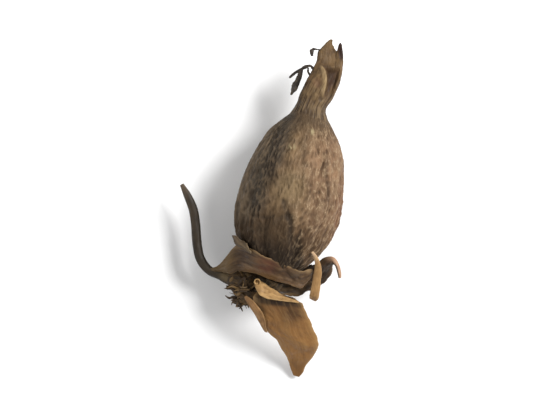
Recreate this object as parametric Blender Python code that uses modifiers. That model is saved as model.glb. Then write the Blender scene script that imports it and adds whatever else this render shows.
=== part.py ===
"""A dried alligator pepper pod, as picked, lying on its side with papery bracts round its foot.

The wrinkled husk narrows to a beak that carries the withered calyx, with shreds of the dried
flower on it. At the other end a short broken stalk carries four bracts: a collar that runs out
into a long tendril, a broad hanging blade, a thin upright strip and one under the foot.

+Y runs along the pod towards its beak, +X to the right, +Z up. The origin is the middle of the
small flat spot on the belly that the pod rests on.
"""

import math

import bmesh
import bpy
import numpy as np
from mathutils import Vector

MM = 0.001

# Driving dimensions of the pod, in millimetres
FOOT_Y = -20.3
BEAK_Y = 28.0
AXIS_HEIGHT = 13.3
GAP = 0.3
SHEET_THICKNESS = 0.7
SHRED_THICKNESS = 0.6

# Furrows that run along the husk: how many round it, how deep, how far they wander, and a phase
FURROWS = (
    (15, 0.22, 1.5, 0.4),
    (22, 0.20, 2.2, 2.1),
    (9, 0.16, 1.1, 4.0),
)
FURROW_WANDER_LENGTH = 31.0
FURROW_FULL_RADIUS = 13.0
BELLY_FADE_HEIGHT = 2.5

# The husk: distance along Y, then its reach to the left, right, up and down from the axis
HUSK_STATIONS = (
    (FOOT_Y, 0.0, 0.0, 0.0, 0.0),
    (-19.7, 3.4, 2.6, 3.2, 3.2),
    (-17.7, 7.2, 5.4, 6.6, 6.6),
    (-13.7, 10.8, 8.8, 10.2, 10.2),
    (-8.5, 13.3, 12.2, 12.3, 12.8),
    (-2.5, 14.5, 14.0, 13.2, 14.0),
    (4.0, 14.4, 14.0, 13.4, 14.0),
    (10.0, 13.2, 13.0, 12.8, 12.9),
    (15.5, 11.4, 12.0, 11.2, 10.8),
    (20.0, 9.1, 9.9, 9.0, 8.4),
    (23.5, 6.4, 7.5, 6.6, 6.0),
    (26.0, 4.4, 5.7, 4.8, 4.4),
    (27.6, 3.8, 4.6, 4.1, 3.8),
    (BEAK_Y, 2.6, 2.9, 2.5, 2.3),
    (BEAK_Y, 0.0, 0.0, 0.0, 0.0),
)
BEAK_RISE = 1.3
BEAK_RISE_FROM = 10.0

# The calyx: distance along Y, left edge, right edge, height of its middle and half its thickness
CALYX_Y = BEAK_Y + GAP
CALYX_STATIONS = (
    (CALYX_Y, 0.2, 0.3, 14.6, 0.0),
    (CALYX_Y, -2.7, 3.0, 14.6, 2.4),
    (28.7, -3.7, 4.4, 14.6, 3.7),
    (31.0, -3.1, 5.2, 14.9, 3.5),
    (34.0, -2.2, 6.0, 15.2, 3.1),
    (37.0, -1.2, 6.6, 15.5, 2.6),
    (40.0, -0.4, 6.8, 15.7, 2.0),
    (43.0, -0.4, 6.6, 15.9, 1.3),
    (45.2, 0.8, 4.9, 16.2, 0.8),
    (46.9, 2.0, 3.5, 16.5, 0.5),
    (47.8, 2.7, 2.8, 16.6, 0.0),
)
CREASE_ANGLE = math.radians(68)
CREASE_WIDTH = math.radians(17)
CREASE_DEPTH = 0.55
CREASE_FULL_Y = 31.0
CREASE_FADE_Y = 38.0
CREASE_END_Y = 40.5
SPOON_START_Y = 38.0
SPOON_FULL_Y = 43.0
SPOON_DEPTH = 1.1

# Strips: rows of x, y, z, half-width and roll in degrees, from the root to the tip
CALYX_HORN = (
    (5.8, 42.4, 16.2, 0.7, 0),
    (5.9, 44.4, 16.5, 0.6, 0),
    (5.7, 45.8, 16.9, 0.45, 0),
    (5.2, 47.0, 17.2, 0.3, 0),
)
PETAL_STRAND = (
    (-1.45, 38.3, 15.6, 0.35, 0),
    (-2.1, 38.9, 16.0, 0.4, 10),
    (-3.7, 38.0, 15.8, 0.45, 20),
    (-5.2, 36.8, 15.2, 0.4, 10),
    (-6.5, 35.0, 14.6, 0.35, 0),
)
PETAL_SHRED = (
    (-3.9, 36.7, 15.0, 0.35, 0),
    (-4.0, 35.0, 14.6, 0.65, 15),
    (-4.6, 32.9, 14.2, 0.6, 25),
    (-5.3, 30.7, 13.9, 0.3, 10),
)
PETAL_CURL = (
    (-0.36, 44.3, 16.1, 0.3, 0),
    (-1.6, 44.1, 16.2, 0.35, 0),
    (-2.0, 43.4, 16.1, 0.45, 0),
    (-1.7, 42.2, 15.8, 0.35, 0),
)
COLLAR_BRACT = (
    (8.4, -19.6, 13.6, 1.3, 30),
    (4.9, -18.9, 17.0, 2.2, 40),
    (0.4, -18.4, 20.9, 2.9, 45),
    (-4.5, -18.2, 20.6, 3.1, 45),
    (-9.0, -18.0, 18.1, 3.5, 40),
    (-11.8, -18.1, 15.0, 3.6, 30),
    (-15.4, -20.7, 12.4, 2.0, 15),
    (-18.4, -21.8, 11.0, 1.4, 10),
    (-20.9, -20.0, 10.2, 1.25, 5),
    (-22.5, -16.8, 9.6, 1.3, 0),
    (-23.6, -13.0, 9.4, 1.35, 0),
    (-24.6, -9.2, 9.6, 1.3, 0),
    (-26.0, -5.8, 10.0, 1.2, 0),
    (-28.2, -2.4, 10.2, 1.05, 0),
    (-30.6, 0.5, 9.8, 0.45, 0),
)
ROLLED_CORNER = (
    (-12.9, -17.0, 15.6, 0.9, 0),
    (-13.6, -14.9, 16.2, 0.9, 0),
    (-14.0, -12.8, 17.0, 0.8, 0),
    (-13.6, -11.3, 17.9, 0.8, 0),
    (-12.5, -10.8, 19.1, 0.8, 0),
    (-11.2, -11.5, 20.6, 0.75, 0),
    (-9.8, -12.6, 21.5, 0.4, 0),
)
HANGING_BRACT = (
    (0.5, -22.0, 15.4, 1.4, 0),
    (0.9, -22.9, 16.9, 4.4, 0),
    (1.3, -23.8, 17.8, 6.0, 0),
    (1.8, -25.6, 17.6, 6.8, 0),
    (3.2, -29.0, 15.6, 7.4, 0),
    (6.4, -33.2, 12.0, 6.5, 0),
    (9.9, -37.4, 7.8, 5.3, 0),
    (11.2, -41.6, 4.2, 3.2, 0),
    (11.3, -45.9, 1.9, 0.9, 0),
)
UPRIGHT_BRACT = (
    (2.2, -22.5, 10.2, 0.9, 0),
    (5.6, -24.0, 11.0, 1.1, 0),
    (9.6, -24.0, 12.6, 1.3, 0),
    (11.0, -21.0, 14.4, 1.35, 0),
    (10.8, -18.4, 15.4, 1.25, 0),
    (10.5, -16.0, 16.8, 1.1, 0),
    (10.1, -13.3, 18.7, 0.6, 0),
    (9.0, -10.7, 21.6, 0.35, 0),
)
LOWER_BRACT = (
    (0.4, -21.7, 9.1, 1.3, 0),
    (4.8, -21.0, 7.2, 2.8, -10),
    (8.8, -18.9, 8.0, 3.4, -20),
    (11.8, -15.6, 11.0, 2.9, -25),
    (13.4, -12.9, 14.0, 1.4, -20),
    (15.2, -12.9, 15.6, 0.85, 0),
    (16.6, -14.4, 15.4, 0.8, 0),
    (17.6, -16.4, 14.4, 0.45, 0),
)

# The stalk: x, y, z and radius along its middle, then the splinters of its broken end
STALK_PATH = (
    (0.0, -20.7, 12.5, 2.6),
    (-0.1, -21.9, 12.4, 2.3),
    (-1.5, -23.3, 12.3, 1.7),
    (-4.3, -25.1, 11.8, 1.7),
    (-7.6, -27.0, 10.9, 2.1),
)
STALK_SIDES = 12
SPLINTER_SIDES = 6
TUBE_CUTS = 10
SPLINTERS = 7
SPLINTER_RADIUS = 0.75
SPLINTER_LENGTHS = (3.4, 2.2, 4.0, 2.8, 3.6, 2.0, 3.0)
SPLINTER_SUNK = 1.2
SPLINTER_SPREAD = 1.25
SPLINTER_FLARE = 0.28
SPLINTER_TAPER = ((0.0, 1.0), (0.6, 0.75), (1.0, 0.3))

# A strip's edges: two waves in their outline, as multiples of the ripple's, and how far each
# wave, and the ripple, runs ahead from one edge to the other
EDGE_WAVES = (2.3, 4.1)
EDGE_LEADS = (2.0, -3.0)
RIPPLE_LEAD = 1.9

# How each strip is made: its rows, thickness, facets along and across, then its arch, waves,
# ragged edge and slant
STRIPS = {
    "petal_strand": {"rows": PETAL_STRAND, "thickness": SHRED_THICKNESS, "cuts": (20, 2)},
    "petal_shred": {"rows": PETAL_SHRED, "thickness": SHRED_THICKNESS, "cuts": (14, 2)},
    "petal_curl": {"rows": PETAL_CURL, "thickness": SHRED_THICKNESS, "cuts": (14, 2)},
    "collar_bract": {
        "rows": COLLAR_BRACT, "thickness": SHEET_THICKNESS, "cuts": (70, 6),
        "crown": 0.12, "ripple": 0.35, "waves": 7.0, "ragged": 0.07,
    },
    "hanging_bract": {
        "rows": HANGING_BRACT, "thickness": SHEET_THICKNESS, "cuts": (46, 10),
        "crown": 0.12, "ripple": 0.7, "waves": 3.4, "ragged": 0.05, "slant": -0.25,
    },
    "upright_bract": {
        "rows": UPRIGHT_BRACT, "thickness": SHEET_THICKNESS, "cuts": (34, 4),
        "crown": 0.15, "ripple": 0.15, "waves": 4.0, "ragged": 0.08,
    },
    "lower_bract": {
        "rows": LOWER_BRACT, "thickness": SHEET_THICKNESS, "cuts": (40, 6),
        "crown": 0.10, "ripple": 0.3, "waves": 4.5, "ragged": 0.08,
    },
}
STRIP_MATERIALS = {
    "petal_strand": "petal",
    "petal_shred": "petal",
    "petal_curl": "petal",
    "collar_bract": "dark_bract",
    "hanging_bract": "bract",
    "upright_bract": "bract",
    "lower_bract": "dark_bract",
}

# Base colour, roughness: linear red, green and blue
COLOURS = {
    "husk": ((0.105, 0.066, 0.042), 0.75),
    "calyx": ((0.200, 0.130, 0.070), 0.70),
    "petal": ((0.022, 0.013, 0.009), 0.60),
    "bract": ((0.330, 0.180, 0.080), 0.65),
    "dark_bract": ((0.110, 0.058, 0.032), 0.70),
    "stalk": ((0.100, 0.065, 0.035), 0.85),
}


def clear_scene():
    for obj in list(bpy.data.objects):
        bpy.data.objects.remove(obj)


def new_collection(name):
    collection = bpy.data.collections.new(name)
    bpy.context.scene.collection.children.link(collection)
    return collection


def make_materials():
    materials = {}
    for name, (colour, roughness) in COLOURS.items():
        material = bpy.data.materials.new(name)
        material.use_nodes = True
        shader = material.node_tree.nodes["Principled BSDF"]
        shader.inputs["Base Color"].default_value = (*colour, 1.0)
        shader.inputs["Roughness"].default_value = roughness
        shader.inputs["Metallic"].default_value = 0.0
        materials[name] = material
    return materials


def smooth_through(stations, t):
    """Catmull-Rom curve through the stations, read at t from 0 to 1."""
    rows = np.array(stations, float)
    last = len(rows) - 1
    place = np.clip(np.asarray(t, float), 0.0, 1.0) * last
    start = np.minimum(place.astype(int), last - 1)
    u = (place - start)[:, None]
    before = rows[np.maximum(start - 1, 0)]
    here = rows[start]
    after = rows[start + 1]
    beyond = rows[np.minimum(start + 2, last)]
    return 0.5 * (
        2 * here
        + (after - before) * u
        + (2 * before - 5 * here + 4 * after - beyond) * u**2
        + (3 * here - before - 3 * after + beyond) * u**3
    )


def smooth_step(value, low, high):
    share = np.clip((value - low) / (high - low), 0.0, 1.0)
    return share * share * (3 - 2 * share)


def sphere_mesh(segments, rings):
    """A unit sphere's bmesh, with each point's share of the way from its foot and its angle."""
    bm = bmesh.new()
    bmesh.ops.create_uvsphere(bm, u_segments=segments, v_segments=rings, radius=1.0)
    points = np.array([v.co for v in bm.verts], float)
    share = np.arccos(np.clip(-points[:, 2], -1, 1)) / math.pi
    angle = np.arctan2(points[:, 1], points[:, 0])
    return bm, share, angle


def move_points(bm, points_mm):
    for vertex, point in zip(bm.verts, points_mm):
        vertex.co = Vector(point) * MM


def finish_object(name, bm, material, collection):
    if bm.calc_volume(signed=True) < 0:
        bmesh.ops.reverse_faces(bm, faces=bm.faces)
    mesh = bpy.data.meshes.new(name)
    bm.to_mesh(mesh)
    bm.free()
    mesh.materials.append(material)
    mesh.shade_smooth()
    obj = bpy.data.objects.new(name, mesh)
    collection.objects.link(obj)
    return obj


def furrow_height(angle, y, reach):
    """Lengthwise ridges: waves round the husk whose phase wanders along it, lower where it is thin."""
    height = np.zeros_like(angle)
    for count, depth, wander, phase in FURROWS:
        drift = wander * np.sin(2 * math.pi * y / FURROW_WANDER_LENGTH + phase)
        height += depth * np.cos(count * angle + drift + phase)
    return height * np.clip(reach / FURROW_FULL_RADIUS, 0.0, 1.0)


def make_husk(material, collection):
    """The fruit wall: an egg-shaped loft with a beak, furrowed, and pressed flat where it lies."""
    bm, share, angle = sphere_mesh(80, 46)
    y, left, right, up, down = smooth_through(HUSK_STATIONS, share).T
    y = np.clip(y, FOOT_Y, BEAK_Y)
    cosine, sine = np.cos(angle), np.sin(angle)
    side = np.where(cosine > 0, right, left)
    height = np.where(sine > 0, up, down)
    middle = AXIS_HEIGHT + BEAK_RISE * smooth_step(y, BEAK_RISE_FROM, BEAK_Y)
    resting = smooth_step(middle + height * sine, 0.0, BELLY_FADE_HEIGHT)
    bump = furrow_height(angle, y, np.minimum(side, height)) * resting
    x = (side + bump) * cosine
    z = np.maximum(middle + (height + bump) * sine, 0.0)
    move_points(bm, np.stack([x, y, z], axis=1))
    return finish_object("husk", bm, material, collection)


def make_calyx(material, collection):
    """The withered calyx: a flattened tube with one deep crease, spoon-shaped at its torn top."""
    bm, share, angle = sphere_mesh(36, 26)
    y, left, right, middle, half = smooth_through(CALYX_STATIONS, share).T
    y = np.maximum(y, CALYX_Y)
    centre = (left + right) / 2
    reach = np.abs(right - left) / 2
    across = np.cos(angle)
    crease = np.exp(-(((angle - CREASE_ANGLE) / CREASE_WIDTH) ** 2))
    crease *= smooth_step(y, CALYX_Y, CREASE_FULL_Y)
    crease *= 1 - smooth_step(y, CREASE_FADE_Y, CREASE_END_Y)
    spoon = SPOON_DEPTH * (across**2 - 0.5) * smooth_step(y, SPOON_START_Y, SPOON_FULL_Y)
    x = centre + reach * across
    z = middle + half * np.sin(angle) * (1 - CREASE_DEPTH * crease) + spoon
    move_points(bm, np.stack([x, y, z], axis=1))
    calyx = finish_object("calyx", bm, material, collection)
    horn = new_collection("calyx horn")
    make_strip("calyx_horn_tool", material, horn, CALYX_HORN, SHEET_THICKNESS, (8, 2))
    fuse(calyx, horn)


def frame_along(path, share, step=0.004):
    """At each share of the path: its row, its direction, and the level and upright sides of it."""
    rows = smooth_through(path, share)
    along = (smooth_through(path, share + step) - smooth_through(path, share - step))[:, :3]
    along /= np.linalg.norm(along, axis=1)[:, None]
    level = np.stack([along[:, 1], -along[:, 0], np.zeros(len(share))], axis=1)
    level /= np.linalg.norm(level, axis=1)[:, None]
    return rows, along, level, np.cross(level, along)


def make_strip(
    name, material, collection, rows, thickness, cuts,
    crown=0.0, ripple=0.0, waves=1.0, ragged=0.0, slant=0.0,
):
    """A leafy strip: a grid laid along its rows, then thickened.

    Its middle is arched by crown, its edges ripple up and down, their outline is ragged, and
    slant carries one edge ahead of the other.
    """
    bm = bmesh.new()
    bmesh.ops.create_grid(bm, x_segments=cuts[0], y_segments=cuts[1], size=1.0)
    grid = np.array([v.co for v in bm.verts], float)
    share = (grid[:, 0] + 1) / 2
    across = grid[:, 1]
    place, along, level, upright = frame_along(rows, share)
    roll = np.radians(place[:, 4])[:, None]
    sideways = np.cos(roll) * level + np.sin(roll) * upright
    normal = np.cross(sideways, along)
    turn = 2 * math.pi * waves * share
    edge = sum(np.sin(n * turn + lead * across) for n, lead in zip(EDGE_WAVES, EDGE_LEADS))
    reach = place[:, 3] * across * (1 + ragged * edge * across**2)
    lift = crown * place[:, 3] * (1 - across**2)
    lift += ripple * across**2 * np.sin(turn + RIPPLE_LEAD * across)
    sideways += slant * along
    move_points(bm, place[:, :3] + sideways * reach[:, None] + normal * lift[:, None])
    bmesh.ops.triangulate(bm, faces=bm.faces)
    strip = finish_object(name, bm, material, collection)
    thicken = strip.modifiers.new("thickness", "SOLIDIFY")
    thicken.thickness = thickness * MM
    thicken.offset = 0.0
    return strip


def fuse(obj, pieces):
    """Joins the collection's pieces to obj by one union, applies it and removes the pieces."""
    join = obj.modifiers.new("join", "BOOLEAN")
    join.operation = "UNION"
    join.solver = "MANIFOLD"
    join.operand_type = "COLLECTION"
    join.collection = pieces
    bpy.context.view_layer.update()
    graph = bpy.context.evaluated_depsgraph_get()
    joined = bpy.data.meshes.new_from_object(obj.evaluated_get(graph))
    obj.modifiers.clear()
    obj.data = joined
    for piece in list(pieces.objects):
        bpy.data.objects.remove(piece)
    bpy.data.collections.remove(pieces)


def add_rolled_corner(collar):
    """The collar's upper corner, torn free and rolled up beside the husk."""
    corner = new_collection("collar corner")
    material = collar.data.materials[0]
    make_strip("corner_tool", material, corner, ROLLED_CORNER, SHEET_THICKNESS, (24, 2))
    fuse(collar, corner)


def make_tube(name, path, sides, material, collection):
    """A round twig through the path's points, closed at both ends."""
    bm = bmesh.new()
    bmesh.ops.create_cone(bm, cap_ends=True, segments=sides, radius1=1, radius2=1, depth=2)
    upright_edges = [e for e in bm.edges if abs(e.verts[0].co.z - e.verts[1].co.z) > 1]
    bmesh.ops.subdivide_edges(bm, edges=upright_edges, cuts=TUBE_CUTS)
    points = np.array([v.co for v in bm.verts], float)
    rows, _, level, upright = frame_along(path, (points[:, 2] + 1) / 2)
    ring = points[:, 0:1] * level + points[:, 1:2] * upright
    move_points(bm, rows[:, :3] + rows[:, 3:4] * ring)
    return finish_object(name, bm, material, collection)


def make_stalk(material, collection):
    """The short stalk, broken off, with splinters of fibre at its end."""
    stalk = make_tube("stalk", STALK_PATH, STALK_SIDES, material, collection)
    end = Vector(STALK_PATH[-1][:3])
    run = (end - Vector(STALK_PATH[-2][:3])).normalized()
    side = Vector((run.y, -run.x, 0)).normalized()
    rise = side.cross(run)
    splinters = new_collection("stalk splinters")
    for index in range(SPLINTERS):
        turn = 2 * math.pi * index / SPLINTERS
        outward = math.cos(turn) * side + math.sin(turn) * rise
        root = end - run * SPLINTER_SUNK + outward * SPLINTER_SPREAD
        length = SPLINTER_LENGTHS[index] + SPLINTER_SUNK
        tip = root + (run + outward * SPLINTER_FLARE) * length
        path = [(*root.lerp(tip, at), SPLINTER_RADIUS * size) for at, size in SPLINTER_TAPER]
        make_tube(f"splinter_tool_{index + 1}", path, SPLINTER_SIDES, material, splinters)
    fuse(stalk, splinters)


def main():
    clear_scene()
    pod = new_collection("alligator pepper pod")
    paint = make_materials()
    make_husk(paint["husk"], pod)
    make_calyx(paint["calyx"], pod)
    make_stalk(paint["stalk"], pod)
    for name, shape in STRIPS.items():
        strip = make_strip(name, paint[STRIP_MATERIALS[name]], pod, **shape)
        if name == "collar_bract":
            add_rolled_corner(strip)


main()
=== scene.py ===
import math

import bpy
import numpy as np
from mathutils import Euler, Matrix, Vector


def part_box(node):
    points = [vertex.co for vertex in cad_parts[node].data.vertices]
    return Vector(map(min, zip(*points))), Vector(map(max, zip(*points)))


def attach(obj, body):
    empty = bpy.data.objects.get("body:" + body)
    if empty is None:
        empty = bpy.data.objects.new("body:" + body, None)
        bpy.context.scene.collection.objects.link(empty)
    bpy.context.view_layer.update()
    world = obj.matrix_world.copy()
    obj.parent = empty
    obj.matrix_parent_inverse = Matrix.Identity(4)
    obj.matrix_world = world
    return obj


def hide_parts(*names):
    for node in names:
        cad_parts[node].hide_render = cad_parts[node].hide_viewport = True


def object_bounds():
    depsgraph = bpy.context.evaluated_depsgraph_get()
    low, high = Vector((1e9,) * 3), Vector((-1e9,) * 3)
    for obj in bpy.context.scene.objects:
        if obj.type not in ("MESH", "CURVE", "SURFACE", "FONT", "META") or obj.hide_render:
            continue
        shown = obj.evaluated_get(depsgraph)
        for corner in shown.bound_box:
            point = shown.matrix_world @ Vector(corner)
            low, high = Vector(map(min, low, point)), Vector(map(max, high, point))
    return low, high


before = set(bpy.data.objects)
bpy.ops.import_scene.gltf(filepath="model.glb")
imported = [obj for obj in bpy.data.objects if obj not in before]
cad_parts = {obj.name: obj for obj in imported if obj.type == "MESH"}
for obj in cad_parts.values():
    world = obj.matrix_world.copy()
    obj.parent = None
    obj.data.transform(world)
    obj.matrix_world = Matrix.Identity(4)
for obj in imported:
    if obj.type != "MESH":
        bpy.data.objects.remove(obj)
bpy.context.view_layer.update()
print("frame:", len(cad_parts), "solids")

mm = 0.001  # shapes are worked out in millimetres and stored in metres


# Curves and noise

def smoothStep(value, low, high):  # 0 at low, 1 at high, eased as 3t^2 - 2t^3
    t = np.clip((value - low) / (high - low), 0.0, 1.0)
    return t * t * (3 - 2 * t)


def bell(value, middle, width):  # e to the minus (distance over width) squared
    return np.exp(-(((value - middle) / width) ** 2))


def gapFromLine(x, y, line):  # distance to the nearest point of a straight line between two ends
    ax, ay, bx, by = line
    run = np.array([bx - ax, by - ay])
    t = np.clip(((x - ax) * run[0] + (y - ay) * run[1]) / (run @ run), 0, 1)
    return np.hypot(x - ax - t * run[0], y - ay - t * run[1])


def throughRows(rows, share):  # Catmull-Rom curve through evenly shared rows, read at share 0 to 1
    rows = np.array(rows, float)
    last = len(rows) - 1
    spot = np.clip(share, 0.0, 1.0) * last
    start = np.minimum(spot.astype(int), last - 1)
    u = (spot - start)[..., None]
    before, here = rows[np.maximum(start - 1, 0)], rows[start]
    after, beyond = rows[start + 1], rows[np.minimum(start + 2, last)]
    return 0.5 * (
        2 * here
        + (after - before) * u
        + (2 * before - 5 * here + 4 * after - beyond) * u**2
        + (3 * here - before - 3 * after + beyond) * u**3
    )


def readRows(rows, x):  # rows of x, then values: straight between rows, with the corners rounded off
    rows = np.array(rows, float)
    fine = np.linspace(rows[0, 0], rows[-1, 0], 400)
    soft = np.hanning(25) / np.hanning(25).sum()
    values = []
    for column in rows[:, 1:].T:
        straight = np.interp(fine, rows[:, 0], column)
        values.append(np.interp(x, fine, np.convolve(np.pad(straight, 12, "edge"), soft, "valid")))
    return np.stack(values, axis=-1)


def softNoise(u, v, cells, seed):  # seeded heights 0 to 1 on a lattice of cells, eased between corners
    heights = np.random.default_rng(seed).random(cells)
    x, y = (u % 1.0) * cells[0], (v % 1.0) * cells[1]
    i, j = x.astype(int) % cells[0], y.astype(int) % cells[1]
    fx, fy = smoothStep(x % 1.0, 0, 1), smoothStep(y % 1.0, 0, 1)
    i2, j2 = (i + 1) % cells[0], (j + 1) % cells[1]
    near = heights[i, j] * (1 - fx) + heights[i2, j] * fx
    far = heights[i, j2] * (1 - fx) + heights[i2, j2] * fx
    return near * (1 - fy) + far * fy


def layeredNoise(u, v, cells, seed, layers=3):  # each layer has twice the cells and half the weight
    total, weight = 0.0, 0.0
    for n in range(layers):
        share = 0.5**n
        total = total + share * softNoise(u, v, (cells[0] * 2**n, cells[1] * 2**n), seed + n)
        weight += share
    return total / weight


def ridgeNoise(u, v, cells, seed):  # 1 where the noise crosses its middle, falling off to both sides
    return 1 - np.abs(2 * softNoise(u, v, cells, seed) - 1)


def cellNet(u, v, cells, seed):  # 0 on the net between jittered cells, rising towards each cell's middle
    jitter = np.random.default_rng(seed).random(cells + (2,))
    x, y = (u % 1.0) * cells[0], (v % 1.0) * cells[1]
    i, j = x.astype(int), y.astype(int)
    nearest = np.full(x.shape, 9.0)
    second = nearest.copy()
    for a in (-1, 0, 1):
        for b in (-1, 0, 1):
            spot = jitter[(i + a) % cells[0], (j + b) % cells[1]]
            gap = np.hypot(x - i - a - spot[..., 0], y - j - b - spot[..., 1])
            second = np.minimum(second, np.maximum(nearest, gap))
            nearest = np.minimum(nearest, gap)
    return second - nearest


# Grids into meshes

def tubeGrid(along, around):  # the share along a tube and the share of a turn round it, at each point
    return np.meshgrid(np.linspace(0, 1, along), np.linspace(0, 1, around, endpoint=False), indexing="ij")


def gridQuads(rows, columns, closed=False):  # corner numbers of each cell of a rows by columns grid
    i, j = np.meshgrid(np.arange(rows - 1), np.arange(columns - (not closed)), indexing="ij")
    i, j = i.ravel(), j.ravel()
    k = (j + 1) % columns
    return np.stack([i, i + 1, i + 1, i], 1) * columns + np.stack([j, j, k, k], 1)


def volumeOf(points, faces):  # signed: a sixth of the sum of a . (b x c) over each face's triangles
    a = points[faces[:, 0]]
    return sum(
        np.einsum("ij,ij->", a, np.cross(points[faces[:, k]], points[faces[:, k + 1]]))
        for k in range(1, faces.shape[1] - 1)
    ) / 6


def outward(points, faceSets):  # turns every face round where the closed shape's volume comes out negative
    if sum(volumeOf(points, faces) for faces in faceSets) < 0:
        return [faces[:, ::-1] for faces in faceSets]
    return faceSets


def sheetParts(middle, thickness, marks, uv):
    # a sheet's two faces, middle plus and minus half the thickness along cross(drow, dcolumn), and its rim
    rows, columns = middle.shape[:2]
    normal = np.cross(np.gradient(middle, axis=0), np.gradient(middle, axis=1))
    normal /= np.maximum(np.linalg.norm(normal, axis=2, keepdims=True), 1e-9)
    half = normal * np.broadcast_to(thickness, (rows, columns))[..., None] / 2
    count = rows * columns
    points = np.concatenate([(middle + half).reshape(-1, 3), (middle - half).reshape(-1, 3)])
    quads = gridQuads(rows, columns)
    number = np.arange(count).reshape(rows, columns)
    rim = np.concatenate([number[0, :-1], number[:-1, -1], number[-1, :0:-1], number[:0:-1, 0]])
    ahead = np.roll(rim, -1)
    side = np.stack([rim, ahead, ahead + count, rim + count], 1)
    both = {label: np.concatenate([values.ravel()] * 2) for label, values in marks.items()}
    faceSets = outward(points, [quads, quads[:, ::-1] + count, side])
    return points, faceSets, both, np.concatenate([uv.reshape(-1, 2)] * 2)


def tubeParts(rings, marks, uv):  # rings of points closed round their columns, each end drawn to its middle
    rows, columns = rings.shape[:2]
    ends = rings[[0, -1]].mean(axis=1)
    points = np.concatenate([rings.reshape(-1, 3), ends])
    turn = np.arange(columns)
    ahead = (turn + 1) % columns
    first, last, top = rows * columns, rows * columns + 1, (rows - 1) * columns
    low = np.stack([ahead, np.full(columns, first), turn], 1)
    high = np.stack([turn + top, np.full(columns, last), ahead + top], 1)
    kept = {
        label: np.concatenate([values.ravel(), values[[0, -1]].mean(axis=1)])
        for label, values in marks.items()
    }
    uv = np.concatenate([uv.reshape(-1, 2), uv[[0, -1]].mean(axis=1)])
    return points, outward(points, [gridQuads(rows, columns, True), low, high]), kept, uv


def makePiece(name, parts):  # one mesh of one or more parts: points in mm, faces, numbers kept per point, UV
    points, faces, uv, start = [], [], [], 0
    marks = {label: [] for label in parts[0][2]}
    for part in parts:
        points.append(part[0])
        faces += [face for faceSet in part[1] for face in (faceSet + start).tolist()]
        uv.append(part[3])
        for label, values in part[2].items():
            marks[label].append(values)
        start += len(part[0])
    mesh = bpy.data.meshes.new(name)
    mesh.from_pydata((np.concatenate(points) * mm).tolist(), [], faces)
    for label, values in marks.items():
        layer = mesh.attributes.new(label, "FLOAT", "POINT")
        layer.data.foreach_set("value", np.concatenate(values).astype(np.float32))
    corners = np.empty(len(mesh.loops), np.int32)
    mesh.loops.foreach_get("vertex_index", corners)
    flow = mesh.uv_layers.new(name="flow")
    flow.data.foreach_set("uv", np.concatenate(uv)[corners].astype(np.float32).ravel())
    mesh.shade_smooth()
    piece = bpy.data.objects.new(name, mesh)
    bpy.context.scene.collection.objects.link(piece)
    return piece


def lengthsAlong(points):  # distance run along the first axis, in mm, from the steps between rows
    steps = np.linalg.norm(np.diff(points, axis=0), axis=-1)
    return np.concatenate([np.zeros((1,) + steps.shape[1:]), np.cumsum(steps, axis=0)])


def unit(vectors):  # each vector divided by its length
    return vectors / np.maximum(np.linalg.norm(vectors, axis=-1, keepdims=True), 1e-9)


def sidesAlong(rows, share):  # a path's row at each share, its direction, and its level and upright sides
    step = 0.004
    along = unit((throughRows(rows, share + step) - throughRows(rows, share - step))[..., :3])
    level = unit(np.stack([along[..., 1], -along[..., 0], np.zeros_like(share)], axis=-1))
    return throughRows(rows, share), along, level, np.cross(level, along)


def dress(piece, node, material):  # every piece rides on the one body, for its own solid
    piece.data.materials.append(material)
    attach(piece, "root")
    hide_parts(node)


# Shader tools

def put(tree, kind, inputs=None, **settings):  # adds a node; links its inputs or sets their values
    node = tree.nodes.new(kind)
    for label, value in settings.items():
        setattr(node, label, value)
    for label, value in (inputs or {}).items():
        if isinstance(value, bpy.types.NodeSocket):
            tree.links.new(value, node.inputs[label])
        else:
            node.inputs[label].default_value = value
    return node


def newGroup(name, inputs, outputs):  # inputs: name to (socket kind, default); returns the tree and its ends
    tree = bpy.data.node_groups.new(name, "ShaderNodeTree")
    for label, (kind, default) in inputs.items():
        socket = tree.interface.new_socket(label, in_out="INPUT", socket_type=kind)
        if default is not None:
            socket.default_value = default
    for label in outputs:
        tree.interface.new_socket(label, in_out="OUTPUT", socket_type="NodeSocketFloat")
    start = tree.nodes.new("NodeGroupInput")
    end = tree.nodes.new("NodeGroupOutput")
    return tree, start.outputs, end


def ramp(tree, value, low, high, bottom=0.0, top=1.0):  # eased from bottom to top as value goes low to high
    node = put(
        tree,
        "ShaderNodeMapRange",
        {0: value, 1: low, 2: high, 3: bottom, 4: top},
        interpolation_type="SMOOTHSTEP",
    )
    return node.outputs[0]


def maths(tree, kind, a, b):  # one step of arithmetic on two numbers
    return put(tree, "ShaderNodeMath", {0: a, 1: b}, operation=kind).outputs[0]


def blendColours(tree, share, first, second):  # first at share 0, second at share 1
    node = put(tree, "ShaderNodeMix", {0: share, 6: first, 7: second}, data_type="RGBA")
    return node.outputs[2]


def tint(red, green, blue):  # screen values 0 to 255 as linear light
    part = np.array([red, green, blue]) / 255
    return (*np.where(part <= 0.04045, part / 12.92, ((part + 0.055) / 1.055) ** 2.4), 1.0)


def layTones(tree, streak, tones, layers):
    # dark to light along the streak, then each named tone over that by the product of its shares
    colour = blendColours(tree, streak, tint(*tones["dark"]), tint(*tones["light"]))
    for name, *shares in layers:
        share = shares[0]
        for other in shares[1:]:
            share = maths(tree, "MULTIPLY", share, other)
        colour = blendColours(tree, share, colour, tint(*tones[name]))
    return colour


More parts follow.
